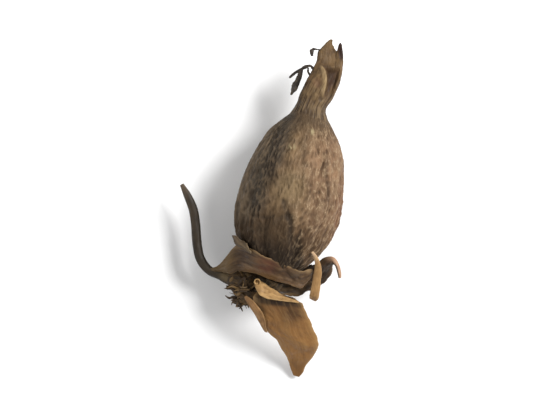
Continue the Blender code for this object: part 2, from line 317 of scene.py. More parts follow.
def makeStreakGroup():  # dry fibres: noise drawn out along Y, as a soft streak and a finer thread
    tree, given, end = newGroup(
        "dryStreaks",
        {
            "Vector": ("NodeSocketVector", None),
            "Per mm": ("NodeSocketFloat", 1.0),
            "Stretch": ("NodeSocketFloat", 4.0),
        },
        ("Streak", "Thread"),
    )
    slow = maths(tree, "DIVIDE", given["Per mm"], given["Stretch"])
    size = put(tree, "ShaderNodeCombineXYZ", {0: given["Per mm"], 1: slow, 2: given["Per mm"]})
    place = put(tree, "ShaderNodeVectorMath", {0: given["Vector"], 1: size.outputs[0]}, operation="MULTIPLY")
    for label, scale, bend in (("Streak", 1.0, 0.5), ("Thread", 3.1, 0.3)):
        noise = put(
            tree,
            "ShaderNodeTexNoise",
            {"Vector": place.outputs[0], "Scale": scale, "Detail": 3.0, "Distortion": bend},
        )
        tree.links.new(ramp(tree, noise.outputs[0], 0.36, 0.64), end.inputs[label])
    return tree


def makePatchGroup():  # soft-edged patches: noise kept where it rises above a cover level
    tree, given, end = newGroup(
        "softPatches",
        {
            "Vector": ("NodeSocketVector", None),
            "Per mm": ("NodeSocketFloat", 0.2),
            "Level": ("NodeSocketFloat", 0.5),
            "Softness": ("NodeSocketFloat", 0.1),
        },
        ("Mask",),
    )
    wanted = {"Vector": given["Vector"], "Scale": given["Per mm"], "Detail": 3.0}
    cloud = put(tree, "ShaderNodeTexNoise", wanted)
    low = maths(tree, "SUBTRACT", given["Level"], given["Softness"])
    high = maths(tree, "ADD", given["Level"], given["Softness"])
    tree.links.new(ramp(tree, cloud.outputs[0], low, high), end.inputs["Mask"])
    return tree


def makeReliefGroup():  # a relief value split into its crevices, for painted shade, and its crests, for wear and painted highlight
    tree, given, end = newGroup(
        "creviceAndCrest",
        {
            "Relief": ("NodeSocketFloat", 0.5),
            "Crevice": ("NodeSocketFloat", 0.3),
            "Crest": ("NodeSocketFloat", 0.7),
            "Softness": ("NodeSocketFloat", 0.12),
        },
        ("Crevice", "Crest"),
    )
    for label, start, stop in (("Crevice", 1.0, 0.0), ("Crest", 0.0, 1.0)):
        low = maths(tree, "SUBTRACT", given[label], given["Softness"])
        high = maths(tree, "ADD", given[label], given["Softness"])
        tree.links.new(ramp(tree, given["Relief"], low, high, start, stop), end.inputs[label])
    return tree


streakGroup = makeStreakGroup()
patchGroup = makePatchGroup()
reliefGroup = makeReliefGroup()


def newMaterial(name):  # a material with its node tree and its shader
    material = bpy.data.materials.new(name)
    material.use_nodes = True
    tree = material.node_tree
    return material, tree, tree.nodes["Principled BSDF"]


def millimetres(tree):  # object coordinates as millimetres
    place = put(tree, "ShaderNodeTexCoord").outputs["Object"]
    return put(tree, "ShaderNodeVectorMath", {0: place, "Scale": 1000.0}, operation="SCALE").outputs[0]


def useGroup(tree, group, values):  # places a shared group in a material with its own values
    return put(tree, "ShaderNodeGroup", values, node_tree=group).outputs


def mark(tree, label):  # a number kept on the mesh's points
    return put(tree, "ShaderNodeAttribute", attribute_name=label).outputs["Fac"]


def nearSpot(tree, place, centre, radius):  # 1 close to a point, easing to 0 at twice the radius
    gap = put(tree, "ShaderNodeVectorMath", {0: place, 1: centre}, operation="DISTANCE").outputs["Value"]
    return ramp(tree, gap, radius * 2, radius * 0.4)


def finish(tree, shader, surface, bump, shine):
    # surface: its colour and roughness; bump: its height, its strength and its reach in mm
    height, strength, reach = bump
    tree.links.new(surface[0], shader.inputs["Base Color"])
    tree.links.new(surface[1], shader.inputs["Roughness"])
    raised = put(tree, "ShaderNodeBump", {"Height": height, "Strength": strength, "Distance": reach * mm})
    tree.links.new(raised.outputs[0], shader.inputs["Normal"])
    shader.inputs["Specular IOR Level"].default_value = shine


# The husk: an egg-shaped wall with a beak, wrinkled lengthwise, pressed flat where it lies

huskBox = np.array(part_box("husk")) / mm
husk = {
    "around": 400,
    "along": 246,
    "seed": 11,
    "axisHeight": 13.3,
    "beakRise": 1.3,  # how far the beak's end sits above the axis
    "outline": (  # y, then reach left, right, up and down
        (huskBox[0, 1], 0.0, 0.0, 0.0, 0.0),
        (-19.7, 3.4, 2.6, 3.2, 3.2),
        (-17.7, 7.2, 5.4, 6.6, 6.6),
        (-13.7, 10.8, 8.8, 10.2, 10.2),
        (-8.5, 13.3, 12.2, 12.3, 12.8),
        (-2.5, 14.5, 14.0, 13.2, 14.0),
        (4.0, 14.4, 14.0, 13.4, 14.0),
        (10.0, 13.2, 13.0, 12.8, 12.9),
        (15.5, 11.4, 12.0, 11.2, 10.8),
        (20.0, 9.1, 9.9, 9.0, 8.4),
        (23.5, 6.4, 7.5, 6.6, 6.0),
        (26.0, 4.2, 5.5, 4.6, 4.2),
        (27.6, 3.1, 3.9, 3.5, 3.2),
        (huskBox[1, 1], 1.8, 2.1, 1.7, 1.6),
        (huskBox[1, 1], 0.0, 0.0, 0.0, 0.0),
    ),
    "furrows": (  # waves round the husk: count, depth, wander and phase
        (15, 0.20, 1.5, 0.4),
        (22, 0.14, 2.2, 2.1),
        (9, 0.18, 1.1, 4.0),
    ),
    "wanderLength": 31.0,  # how far along the furrows sway once to and fro
    "wrinkles": (  # ridges that branch and join: cells round and along, height, share of the shading
        (44, 10, 0.24, 0.14),
        (76, 22, 0.30, 0.34),
        (120, 42, 0.18, 0.26),
    ),
    "net": (76, 25, 0.24, 0.34),  # the same four values for the net of fine lines
    "grain": 0.08,
    "flankShare": 0.4,  # how much lower the wrinkles are along both sides
    "neck": (19.0, 26.0),  # y over which they fade towards the beak
    "hollows": (  # x and y of each end, width and depth of long shallow hollows in the upper face
        (-3.8, 24.0, -6.6, 8.0, 2.4, 0.22),
        (-6.6, 8.0, -8.6, -2.0, 2.0, 0.20),
        (-2.0, 1.2, 0.0, -3.4, 0.9, 0.36),
        (0.0, -3.4, 2.2, -8.6, 1.1, 0.36),
        (4.6, -6.0, 4.4, -13.0, 0.8, 0.45),
        (6.6, 16.0, 9.4, 4.0, 0.7, 0.25),
        (1.0, 19.0, 2.0, 12.0, 0.6, 0.20),
        (-11.0, -4.6, -4.5, -3.9, 0.5, 0.22),
    ),
    "greyBand": (  # y, then the middle and the reach of a grey band across, darker in part as painted shade on the side away from the light
        (-25.0, -12.0, 1.0),
        (-5.0, -9.4, 2.4),
        (0.0, -9.2, 3.0),
        (5.0, -9.6, 3.0),
        (11.0, -7.7, 3.0),
        (17.0, -6.6, 3.0),
        (22.0, -5.8, 2.2),
        (29.0, -4.6, 1.4),
    ),
    "leftEdge": (  # y, then the x left of which the skin is duller
        (-25.0, -10.0),
        (-0.5, -8.0),
        (4.5, -8.0),
        (11.0, -4.8),
        (23.0, -3.8),
        (29.0, -3.0),
    ),
    "darkEdge": (  # x, then the y below which it is dark brown
        (-16.0, -3.0),
        (-11.0, -3.2),
        (-7.5, -1.4),
        (-4.5, -0.6),
        (-1.5, 0.6),
        (0.5, -1.2),
        (3.0, -5.5),
        (5.0, -8.0),
        (6.5, -12.0),
        (9.0, -17.0),
        (16.0, -18.0),
    ),
    "spots": ((2.3, 21.7, 22.6), (-2.5, 16.2, 24.2)),  # small pale spots
    "tones": {  # the streaks' dark and light, then the tones that are laid over them
        "dark": (97, 77, 54),
        "light": (112, 90, 64),
        "right": (106, 81, 61),
        # upper: a lighter spot, partly painted light where the key light falls
        "upper": (134, 105, 79),
        "lower": (76, 57, 37),
        "patch": (86, 64, 46),
        "olive": (117, 98, 71),
        "neck": (66, 52, 37),
        "flank": (102, 66, 47),
        "dull": (94, 81, 65),
        # grey: a grey band, darkened in part as painted shade on the left
        "grey": (57, 51, 43),
        "brown": (58, 43, 27),
        "blotch": (54, 44, 33),
        # foot: painted shade on the husk's lower end, below the collar
        "foot": (33, 24, 15),
        # hollow: painted shade in the long shallow hollows
        "hollow": (38, 29, 20),
        # crevice: painted shade in the wrinkles; crest and cream: pale crests, partly wear, partly painted
        # highlight
        "crevice": (46, 34, 23),
        "crest": (132, 110, 84),
        "cream": (160, 138, 110),
        "spot": (146, 132, 100),
    },
    "shine": 0.16,
}


def huskHollows(x, y):  # depth times a bell of the distance from each hollow's line
    total = np.zeros_like(x)
    for *line, width, depth in husk["hollows"]:
        total += depth * bell(gapFromLine(x, y, line), 0, width)
    return total


def huskRelief(turn, reach, y):  # furrows, three sizes of branching wrinkle, a net between them and grain
    seed = husk["seed"]
    drift = 0.022 * (layeredNoise(turn, reach, (13, 9), seed) - 0.5)
    sway = 0.05 * (layeredNoise(turn, reach, (11, 7), seed + 3) - 0.5)
    strength = 0.45 + 1.1 * softNoise(turn, reach, (9, 5), seed + 1)
    wave = np.sin(2 * math.pi * y / husk["wanderLength"])
    height = strength * sum(
        depth * np.cos(n * 2 * math.pi * turn + wander * wave + phase)
        for n, depth, wander, phase in husk["furrows"]
    )
    amount = 0.55 + 0.9 * softNoise(turn, reach, (11, 7), seed + 2)
    fine = 0.0
    for n, (around, along, rise, share) in enumerate(husk["wrinkles"]):
        lean = turn if n % 2 else -turn  # rows of cells that lean one way and then the other
        ridge = ridgeNoise(turn + drift, reach + lean + sway, (around, along), seed + 10 + n)
        height = height + amount * rise * (ridge - 0.6)
        fine = fine + share * ridge
    around, along, rise, share = husk["net"]
    gaps = cellNet(turn + drift, reach + turn + sway, (around, along), seed + 16)
    net = 1 - smoothStep(gaps, 0.0, 0.75)
    grain = layeredNoise(turn + drift, reach, (130, 70), seed + 13, 2) - 0.5
    height = height + amount * rise * (net - 0.4) + husk["grain"] * grain
    return height, np.clip(fine + share * net - 0.12 + 0.25 * grain, 0, 1)


def makeHusk(material):
    # reach(side, y) turned round the axis, plus the relief, with everything below the surface pressed to it
    share, turn = tubeGrid(husk["along"], husk["around"])
    seed = husk["seed"]
    angle = 2 * math.pi * turn - math.pi / 2
    y, left, right, up, down = np.moveaxis(throughRows(husk["outline"], share), -1, 0)
    y = np.clip(y, huskBox[0, 1], huskBox[1, 1])
    cosine, sine = np.cos(angle), np.sin(angle)
    side = np.where(cosine > 0, right, left)
    height = np.where(sine > 0, up, down)
    middle = husk["axisHeight"] + husk["beakRise"] * smoothStep(y, 10.0, huskBox[1, 1])
    reach = lengthsAlong(np.stack([up, y], -1))
    share = reach / reach.max()
    relief, fine = huskRelief(turn, share, y)
    shift = 2.2 * (layeredNoise(turn, share, (24, 11), seed + 22) - 0.5)
    hollow = huskHollows(side * cosine + shift, y + shift) * smoothStep(sine, 0.0, 0.3)
    hollow = hollow * (0.6 + 0.8 * layeredNoise(turn, share, (60, 30), seed + 23, 2))
    resting = smoothStep(middle + height * sine, 0.0, 2.5)
    neck = smoothStep(y, *husk["neck"])
    slim = np.clip(np.minimum(side, height) / 9.0, 0, 1) * (1 - 0.45 * neck)
    rough = 0.75 + 0.4 * smoothStep(side * cosine, -1.0, 6.0) + 0.4 * smoothStep(side * cosine, -4.0, -8.0)
    flank = 1 - husk["flankShare"] * smoothStep(np.abs(cosine), 0.8, 0.98)
    relief = (relief * slim * rough * flank - hollow) * resting
    fine = 0.5 + (fine - 0.5) * rough * (1 - 0.5 * neck)
    x = (side + relief) * cosine
    z = np.maximum(middle + (height + relief) * sine, 0.0)
    points = np.stack([x, y, z], -1)
    uv = np.stack([turn * 84, reach], -1)  # in mm, about 84 round the middle
    wobble = layeredNoise(turn, share, (9, 7), seed + 20) - 0.5
    blur = 5.5 * wobble + 4.5 * (layeredNoise(turn, share, (34, 16), seed + 21) - 0.5)
    bandX, bandReach = np.moveaxis(readRows(husk["greyBand"], y), -1, 0)
    grey = 1 - smoothStep(np.abs(x - bandX + 0.6 * blur), 0.2 * bandReach, 1.4 * bandReach)
    grey = grey * smoothStep(y, -5.0, -2.0)
    dull = smoothStep(readRows(husk["leftEdge"], y)[..., 0] - x + 0.6 * blur, -1.9, 1.9)
    dark = smoothStep(readRows(husk["darkEdge"], x)[..., 0] - y + 0.8 * blur, -1.2, 5.6)
    marks = {
        "relief": fine,
        "hollow": np.clip(hollow / 0.4, 0, 1),
        "grey": grey,
        "dull": dull,
        "dark": dark,
    }
    dress(makePiece("huskSkin", [tubeParts(points, marks, uv)]), "husk", material)


def makeHuskMaterial():
    # brown that greys and darkens to the left, partly as painted shade, and warms to the right, with a
    # lighter spot that is partly painted light; painted shade in the wrinkles, the hollows and below the
    # collar; cream on the crests, partly wear, partly painted highlight
    material, tree, shader = newMaterial("huskSkin")
    place = millimetres(tree)
    x, y = put(tree, "ShaderNodeSeparateXYZ", {0: place}).outputs[:2]
    fibres = useGroup(tree, streakGroup, {"Vector": place, "Per mm": 0.45, "Stretch": 3.0})
    fleck = useGroup(tree, streakGroup, {"Vector": place, "Per mm": 1.1, "Stretch": 3.0})
    patch = useGroup(tree, patchGroup, {"Vector": place, "Per mm": 0.16, "Level": 0.5, "Softness": 0.12})
    blotch = useGroup(tree, patchGroup, {"Vector": place, "Per mm": 0.4, "Level": 0.53, "Softness": 0.1})
    creviceShadeAndCrest = useGroup(
        tree, reliefGroup, {"Relief": mark(tree, "relief"), "Crevice": 0.34, "Crest": 0.70, "Softness": 0.2}
    )
    dark = mark(tree, "dark")
    # the crests, lighter as wear and painted highlight, less so in the dark brown zone
    lit = maths(tree, "MULTIPLY", creviceShadeAndCrest["Crest"], ramp(tree, dark, 0.0, 1.0, 1.0, 0.4))
    layers = [  # a tone, then the shares that it is laid on by
        ("right", ramp(tree, x, 0.0, 9.0, 0.0, 0.8)),
        # a lighter spot, partly painted light where the key light falls
        ("upper", nearSpot(tree, place, (7.2, 12.5, 21.5), 5.5), 0.85),
        ("lower", ramp(tree, y, -1.0, -9.0, 0.0, 0.8)),
        ("patch", patch["Mask"], 0.35),
        ("olive", nearSpot(tree, place, (-1.2, 5.8, 26.5), 3.4), 0.75),
        ("neck", ramp(tree, y, 18.0, 25.5, 0.0, 0.8)),
        ("flank", ramp(tree, x, 11.0, 14.0, 0.0, 0.5)),
        ("dull", mark(tree, "dull"), 0.85),
        # a grey band, partly grey colour, partly painted shade on the side away from the light
        ("grey", mark(tree, "grey"), 0.8),
        ("brown", dark, 0.95),
        ("blotch", blotch["Mask"], ramp(tree, x, -3.0, -8.0, 0.28, 0.55)),
        # painted shade on the husk below the collar
        ("foot", ramp(tree, y, -8.0, -13.0, 0.0, 0.9), dark),
        # painted shade in the long shallow hollows
        ("hollow", mark(tree, "hollow"), 0.85),
        # painted shade in the crevices, then pale crests, partly wear, partly painted highlight, more towards
        # the lit right side
        ("crevice", creviceShadeAndCrest["Crevice"], ramp(tree, x, -9.0, -3.0, 0.4, 0.5)),
        ("crest", lit, ramp(tree, x, -8.0, 5.0, 0.24, 0.5)),
        ("cream", lit, ramp(tree, fleck["Thread"], 0.6, 0.95), ramp(tree, x, -4.0, 6.0, 0.05, 0.6)),
    ]
    patchy = ramp(tree, fleck["Streak"], 0.0, 0.7)
    layers += [("spot", nearSpot(tree, place, centre, 0.8), 0.9, patchy) for centre in husk["spots"]]
    colour = layTones(tree, fibres["Streak"], husk["tones"], layers)
    rough = ramp(tree, fibres["Thread"], 0.0, 1.0, 0.6, 0.8)
    finish(tree, shader, (colour, rough), (fleck["Thread"], 0.5, 0.12), husk["shine"])
    return material


makeHusk(makeHuskMaterial())
print("husk: wrinkled skin")


# The calyx: a withered sheath flattened round a fold, with a spoon-shaped end and a torn top

calyx = {
    "around": 380,
    "along": 200,
    "seed": 40,
    "baseY": 24.9,  # where it grows out of the husk's skin
    "tip": 0.14,  # half the thickness left at the torn edge
    "outline": (  # y, left edge, right edge, height of its middle, half its depth
        (23.5, -6.30, 7.40, 14.3, 6.50),
        (24.6, -5.55, 6.70, 14.4, 5.70),
        (26.0, -4.50, 5.80, 14.5, 4.90),
        (27.4, -3.75, 4.85, 14.5, 4.25),
        (28.6, -3.40, 4.75, 14.55, 3.85),
        (30.1, -3.20, 5.45, 14.7, 3.60),
        (32.5, -2.75, 6.35, 15.0, 3.25),
        (34.6, -2.20, 6.85, 15.3, 2.95),
        (36.5, -1.60, 7.20, 15.5, 2.60),
        (39.0, -0.80, 7.30, 15.7, 2.10),
        (41.3, -0.20, 7.10, 15.8, 1.60),
        (43.7, -0.50, 6.70, 16.0, 1.10),
        (46.0, 0.50, 6.40, 16.3, 0.70),
        (48.0, 1.20, 6.20, 16.6, 0.40),
    ),
    "top": (  # place across from left to right, then the height of the torn edge
        (-1.00, 43.5),
        (-0.95, 44.2),
        (-0.89, 45.0),
        (-0.77, 46.5),
        (-0.61, 47.3),
        (-0.42, 47.75),
        (-0.24, 47.5),
        (-0.13, 46.5),
        (0.05, 45.8),
        (0.30, 45.1),
        (0.38, 44.8),
        (0.44, 44.9),
        (0.46, 46.8),
        (0.54, 47.1),
        (0.66, 47.1),
        (0.77, 46.9),
        (0.86, 46.0),
        (0.94, 45.0),
        (1.00, 43.7),
    ),
    "crest": (  # y, then the middle of the bright fold
        (24.0, 3.2),
        (30.2, 3.3),
        (32.5, 3.2),
        (34.9, 3.3),
        (37.1, 3.0),
        (38.7, 2.4),
        (39.9, 1.4),
        (40.8, 0.6),
        (48.0, 0.4),
    ),
    "crestHeight": 0.6,
    "branch": (2.0, 38.2, -0.7, 35.4),  # a second fold that runs down to the left from the first
    "channelDepth": 1.35,
    "spoonDepth": 0.8,
    "ledge": (2.3, 39.85, 0.07),  # x and y of the lowest point of the spoon's rim, and how it curves up
    "dark": (  # x, y, reach across and along, and strength of each dark mark: partly stains, partly painted shade in the channel and below the spoon's rim
        (4.7, 38.7, 1.3, 1.5, 0.6),
        (3.9, 37.6, 0.5, 1.1, 0.6),
        (5.8, 36.4, 0.7, 0.9, 0.9),
        (4.5, 33.6, 0.4, 1.4, 0.5),
        (-2.4, 34.4, 0.7, 1.6, 0.8),
        (-2.9, 31.3, 0.7, 2.4, 0.8),
        (4.6, 36.2, 0.9, 2.2, 0.5),
        (2.4, 39.9, 1.8, 0.3, 0.5),
        (0.4, 32.2, 0.5, 1.4, 0.5),
    ),
    "pale": (  # the same for each pale stain
        (3.6, 42.2, 1.7, 1.4, 0.8),
        (1.6, 45.2, 0.8, 1.0, 0.5),
        (5.2, 34.2, 0.3, 1.2, 0.7),
        (6.8, 39.3, 0.5, 2.7, 0.9),
        (-0.6, 33.4, 0.5, 1.5, 0.5),
        (1.9, 31.2, 0.4, 1.6, 0.4),
    ),
    "tones": {
        "dark": (84, 64, 41),
        "light": (100, 78, 50),
        "patch": (74, 54, 35),
        "mottle": (60, 46, 31),
        "base": (63, 50, 36),
        "crevice": (46, 34, 23),
        "crest": (126, 104, 74),
        # channel: red-brown, darkened as painted shade in the channel's recess
        "channel": (62, 39, 22),
        # stain: dark marks, partly stains, partly painted shade in the channel and below the spoon's rim
        "stain": (44, 31, 20),
        "pale": (104, 82, 55),
        # fold: the fold's crest, paler, partly painted highlight
        "fold": (152, 128, 92),
        "warm": (104, 76, 55),
        "horn": (38, 22, 16),
    },
    "shine": 0.2,
}


def stains(spots, x, y):  # the sum of strength times a bell round each spot, kept below 1
    total = np.zeros_like(x)
    for cx, cy, wide, long, much in spots:
        total += much * bell(np.hypot((x - cx) / wide, (y - cy) / long), 0, 1)
    return np.clip(total, 0, 1)


def makeCalyx(material):
    # an ellipse at each height, its front face raised in a fold, cut by a channel and hollowed like a spoon
    v, turn = tubeGrid(calyx["along"], calyx["around"])
    seed = calyx["seed"]
    across, front = np.cos(2 * math.pi * turn), np.sin(2 * math.pi * turn)
    span = across * 0.5 + 0.5
    rag = 0.16 * (softNoise(span, v * 0, (43, 2), seed + 1) - 0.5)
    rag = rag + 0.3 * (softNoise(span, v * 0, (17, 2), seed) - 0.5)
    top = np.interp(across, *np.transpose(calyx["top"])) + rag
    base = calyx["baseY"] + 1.6 * (layeredNoise(turn, v * 0, (13, 2), seed + 6) - 0.5)
    y = base + (top - base) * v
    left, right, middle, depth = np.moveaxis(readRows(calyx["outline"], y), -1, 0)
    swell = 0.25 * smoothStep(y - base, 0.0, 2.2) - 0.2  # it rises out of the husk's skin
    depth = np.minimum(depth + swell, calyx["tip"] + (top - y) * 0.55)
    half = (right - left) / 2 + swell * (1 - smoothStep(y, 27.0, 30.0))
    x = (left + right) / 2 + half * across
    z = middle + depth * front
    face = smoothStep(front, 0.0, 0.35)
    foldX = readRows(calyx["crest"], y)[..., 0]
    low = smoothStep(y, 28.0, 34.5)
    branch = bell(gapFromLine(x, y, calyx["branch"]), 0, 0.45)
    crest = np.where(x < foldX, bell(x, foldX, 1.25), bell(x, foldX, 0.5))
    crest = np.maximum(crest * low * (1 - smoothStep(y, 39.2, 41.0)), 0.5 * branch)
    ledgeX, ledgeY, curve = calyx["ledge"]
    ledge = ledgeY + curve * (x - ledgeX) ** 2  # below it the channel's floor drops away from the spoon
    channel = smoothStep(x, foldX + 0.3, foldX + 0.8) * (1 - smoothStep(x, right - 1.6, right - 0.5))
    channel = channel * smoothStep(ledge - y, -0.4, 1.9) * smoothStep(y, 29.0, 35.5)
    spoon = bell(across, 0.05, 0.62) * smoothStep(y, ledge - 0.3, ledge + 1.4)
    u = across * 0.25 + 0.25 + 0.5 * (front < 0)
    wander = 0.02 * (layeredNoise(u, v, (5, 4), seed + 2) - 0.5)
    veins = ridgeNoise(u + wander, v, (44, 5), seed + 3)
    crumple = layeredNoise(u, v, (9, 9), seed + 4) - 0.5
    lift = calyx["crestHeight"] * crest - calyx["channelDepth"] * channel * np.clip(depth / 2.6, 0, 1)
    skin = 1 - smoothStep(y, 26.5, 31.0)  # ribbed like the husk where it grows out of it
    smooth = 1 - 0.7 * np.maximum(channel, spoon)
    lift = (lift - calyx["spoonDepth"] * spoon) * face
    lift = lift + ((0.12 + 0.3 * skin) * (veins - 0.5) + 0.9 * crumple) * smooth
    thin = smoothStep(top - y, 0.0, 1.2)
    z = z + lift * (0.35 + 0.65 * thin) * smoothStep(y - base, 0.0, 1.6)
    x = x + 0.3 * crumple * across * thin
    points = np.stack([x, y, z], -1)
    marks = {
        "relief": 0.6 * veins + 0.4 * (crumple + 0.5),
        "crest": crest * face,
        "channel": channel * face,
        "dark": stains(calyx["dark"], x, y),
        "pale": stains(calyx["pale"], x, y) * face,
        "horn": smoothStep(x + 0.46 * (y - 45), 4.5, 5.2) * smoothStep(y, 41.6, 43.4),
    }
    uv = np.stack([x + 20 * (front < 0), y], -1)
    rows, columns = points.shape[:2]
    start, last = (rows - 1) * columns, columns // 2
    k = np.arange(2, last)  # the torn edge closes front to back, with a triangle at each side
    cap = start + np.stack([k, k - 1, columns - k + 1, columns - k], 1)
    sides = start + np.array([(1, 0, columns - 1), (last, last - 1, last + 1)])
    ring = np.arange(columns)
    foot = np.stack([(ring + 1) % columns, ring, np.full(columns, rows * columns)], 1)
    kept = {label: np.append(values.ravel(), values[0].mean()) for label, values in marks.items()}
    flat = np.concatenate([points.reshape(-1, 3), points[:1].mean(axis=1)])
    flow = np.concatenate([uv.reshape(-1, 2), uv[:1].mean(axis=1)])
    faceSets = outward(flat, [gridQuads(rows, columns, True), foot, cap, sides])
    dress(makePiece("calyxSheath", [(flat, faceSets, kept, flow)]), "calyx", material)


def makeCalyxMaterial():
    # tan with darker streaks, a bright fold that is partly painted highlight, a red-brown channel darkened as
    # painted shade, dark marks that are partly painted shade, a pale spoon and a dark horn
    material, tree, shader = newMaterial("calyxTissue")
    flow = put(tree, "ShaderNodeUVMap", uv_map="flow").outputs[0]
    place = millimetres(tree)
    y = put(tree, "ShaderNodeSeparateXYZ", {0: place}).outputs[1]
    fibres = useGroup(tree, streakGroup, {"Vector": flow, "Per mm": 0.65, "Stretch": 3.5})
    mottle = useGroup(tree, patchGroup, {"Vector": place, "Per mm": 0.75, "Level": 0.5, "Softness": 0.07})
    patch = useGroup(tree, patchGroup, {"Vector": place, "Per mm": 0.35, "Level": 0.52, "Softness": 0.1})
    creviceShadeAndCrest = useGroup(
        tree, reliefGroup, {"Relief": mark(tree, "relief"), "Crevice": 0.36, "Crest": 0.66, "Softness": 0.14}
    )
    streak = fibres["Streak"]
    layers = (
        ("patch", patch["Mask"], 0.5),
        ("mottle", mottle["Mask"], 0.5),
        ("base", ramp(tree, y, 34.0, 27.0, 0.0, 0.8)),
        # painted shade in the crevices, then crests lighter, partly wear, partly painted highlight
        ("crevice", creviceShadeAndCrest["Crevice"], ramp(tree, y, 38.5, 33.5, 0.12, 0.65)),
        ("crest", creviceShadeAndCrest["Crest"], ramp(tree, y, 38.5, 33.5, 0.1, 0.45)),
        # red-brown, darkened as painted shade in the channel's recess
        ("channel", mark(tree, "channel"), ramp(tree, streak, 0.0, 1.0, 0.95, 0.55)),
        # dark marks, partly stains, partly painted shade in the channel and below the spoon's rim
        ("stain", mark(tree, "dark"), 0.75),
        ("pale", mark(tree, "pale"), 0.75),
        # the fold's crest, paler, partly painted highlight
        ("fold", ramp(tree, mark(tree, "crest"), 0.35, 1.0), ramp(tree, streak, 0.0, 1.0, 0.55, 0.9)),
        ("warm", nearSpot(tree, place, (1.1, 35.2, 18.2), 1.0), 0.5),
        ("horn", mark(tree, "horn"), 0.92),
    )
    colour = layTones(tree, streak, calyx["tones"], layers)
    rough = ramp(tree, fibres["Thread"], 0.0, 1.0, 0.55, 0.75)
    finish(tree, shader, (colour, rough), (fibres["Thread"], 0.4, 0.1), calyx["shine"])
    return material


makeCalyx(makeCalyxMaterial())
print("calyx: folded sheath")


# Shreds of the dried flower: flat twisted strands of uneven width

shreds = {
    "petalStrand": {
        "node": "petal_strand",
        "paths": (  # x, y, z, half-width, roll
            (
                (-0.4, 38.2, 15.5, 0.36, 0),
                (-1.2, 39.2, 15.8, 0.38, 20),
                (-2.1, 39.3, 16.0, 0.42, 10),
                (-3.4, 38.4, 15.9, 0.50, 20),
                (-5.0, 37.1, 15.3, 0.46, 10),
                (-6.0, 36.1, 14.9, 0.42, 10),
                (-6.8, 35.0, 14.6, 0.28, 0),
            ),
            (
                (-2.2, 38.8, 15.8, 0.22, 0),
                (-2.1, 38.0, 15.6, 0.34, 20),
                (-1.6, 37.2, 15.3, 0.40, 10),
                (-0.8, 36.7, 15.0, 0.24, 0),
            ),
        ),
        "along": 90,
        "seed": 51,
    },
    "petalShred": {
        "node": "petal_shred",
        "paths": (
            (
                (-3.6, 38.0, 15.6, 0.25, 0),
                (-4.0, 36.9, 15.0, 0.55, 0),
                (-4.2, 35.2, 14.6, 0.80, 15),
                (-4.7, 33.2, 14.2, 0.78, 25),
                (-5.1, 31.8, 14.0, 0.62, 20),
                (-5.5, 30.5, 13.9, 0.34, 10),
            ),
        ),
        "along": 90,
        "seed": 54,
    },
    "petalCurl": {
        "node": "petal_curl",
        "paths": (
            (
                (0.4, 44.2, 16.1, 0.22, 0),
                (-0.5, 44.15, 16.1, 0.24, 0),
                (-1.5, 44.1, 16.2, 0.34, 0),
                (-2.1, 43.7, 16.1, 0.48, 0),
                (-2.0, 42.9, 16.0, 0.52, 0),
                (-1.7, 42.1, 15.8, 0.34, 0),
            ),
        ),
        "along": 60,
        "seed": 57,
    },
}
shredAround = 28  # points round a shred
shredDepth = 0.22  # half the thickness of a shred
fibreShine = 0.35
petalTones = {
    "dark": (32, 25, 20),
    "light": (52, 43, 33),
    "crest": (80, 69, 54),
    "crevice": (20, 15, 12),
}


def shredParts(path, along, seed):
    # a flat oval ring carried along the rows, its size unsettled by noise, its ends drawn in
    share, turn = tubeGrid(along, shredAround)
    spot, ahead, level, upright = sidesAlong(path, share)
    roll = np.radians(spot[..., 4])[..., None]
    sideways = np.cos(roll) * level + np.sin(roll) * upright
    normal = np.cross(sideways, ahead)
    rough = layeredNoise(turn, share, (6, 14), seed)
    width = spot[..., 3] * (0.75 + 0.5 * softNoise(share, share * 0, (9, 1), seed + 7))
    ends = np.sqrt(smoothStep(share, -0.01, 0.05) * (1 - smoothStep(share, 0.94, 1.01)))
    reach = width * ends * (0.8 + 0.4 * rough)
    depth = shredDepth * ends * (0.6 + 0.8 * rough)
    ring = sideways * (reach * np.cos(2 * math.pi * turn))[..., None]
    ring = ring + normal * (depth * np.sin(2 * math.pi * turn) + 0.15 * np.sin(9 * share))[..., None]
    uv = np.stack([turn * 2, lengthsAlong(spot[..., :3])], -1)
    return tubeParts(spot[..., :3] + ring, {"relief": rough}, uv)


def makeShred(name, material):  # one piece of all the shred's paths
    values = shreds[name]
    parts = [shredParts(path, values["along"], values["seed"] + n) for n, path in enumerate(values["paths"])]
    dress(makePiece(name, parts), values["node"], material)


def makeFibreMaterial(name, tones):  # strands: streaked, lighter on top as wear and painted highlight, darker between as painted shade
    material, tree, shader = newMaterial(name)
    flow = put(tree, "ShaderNodeUVMap", uv_map="flow").outputs[0]
    place = millimetres(tree)
    fibres = useGroup(tree, streakGroup, {"Vector": flow, "Per mm": 2.0, "Stretch": 5.0})
    patch = useGroup(tree, patchGroup, {"Vector": place, "Per mm": 0.5, "Level": 0.5, "Softness": 0.1})
    creviceShadeAndCrest = useGroup(
        tree, reliefGroup, {"Relief": mark(tree, "relief"), "Crevice": 0.35, "Crest": 0.62, "Softness": 0.12}
    )
    layers = (
        ("light", patch["Mask"], 0.4),
        ("crest", creviceShadeAndCrest["Crest"], 0.45),
        ("crevice", creviceShadeAndCrest["Crevice"], 0.7),
    )
    colour = layTones(tree, fibres["Streak"], tones, layers)
    rough = ramp(tree, fibres["Thread"], 0.0, 1.0, 0.5, 0.75)
    finish(tree, shader, (colour, rough), (fibres["Thread"], 0.4, 0.08), fibreShine)
    return material


petalMaterial = makeFibreMaterial("petalTissue", petalTones)
for name in shreds:
    makeShred(name, petalMaterial)
print("flower shreds:", len(shreds))


# Bracts: papery leaves with veins, folds and torn edges. A spine is x, y, z, half-width, roll and bend;
# edges are the two sides' x, y, z and then the bend. Bend is half the angle that the leaf curls through.

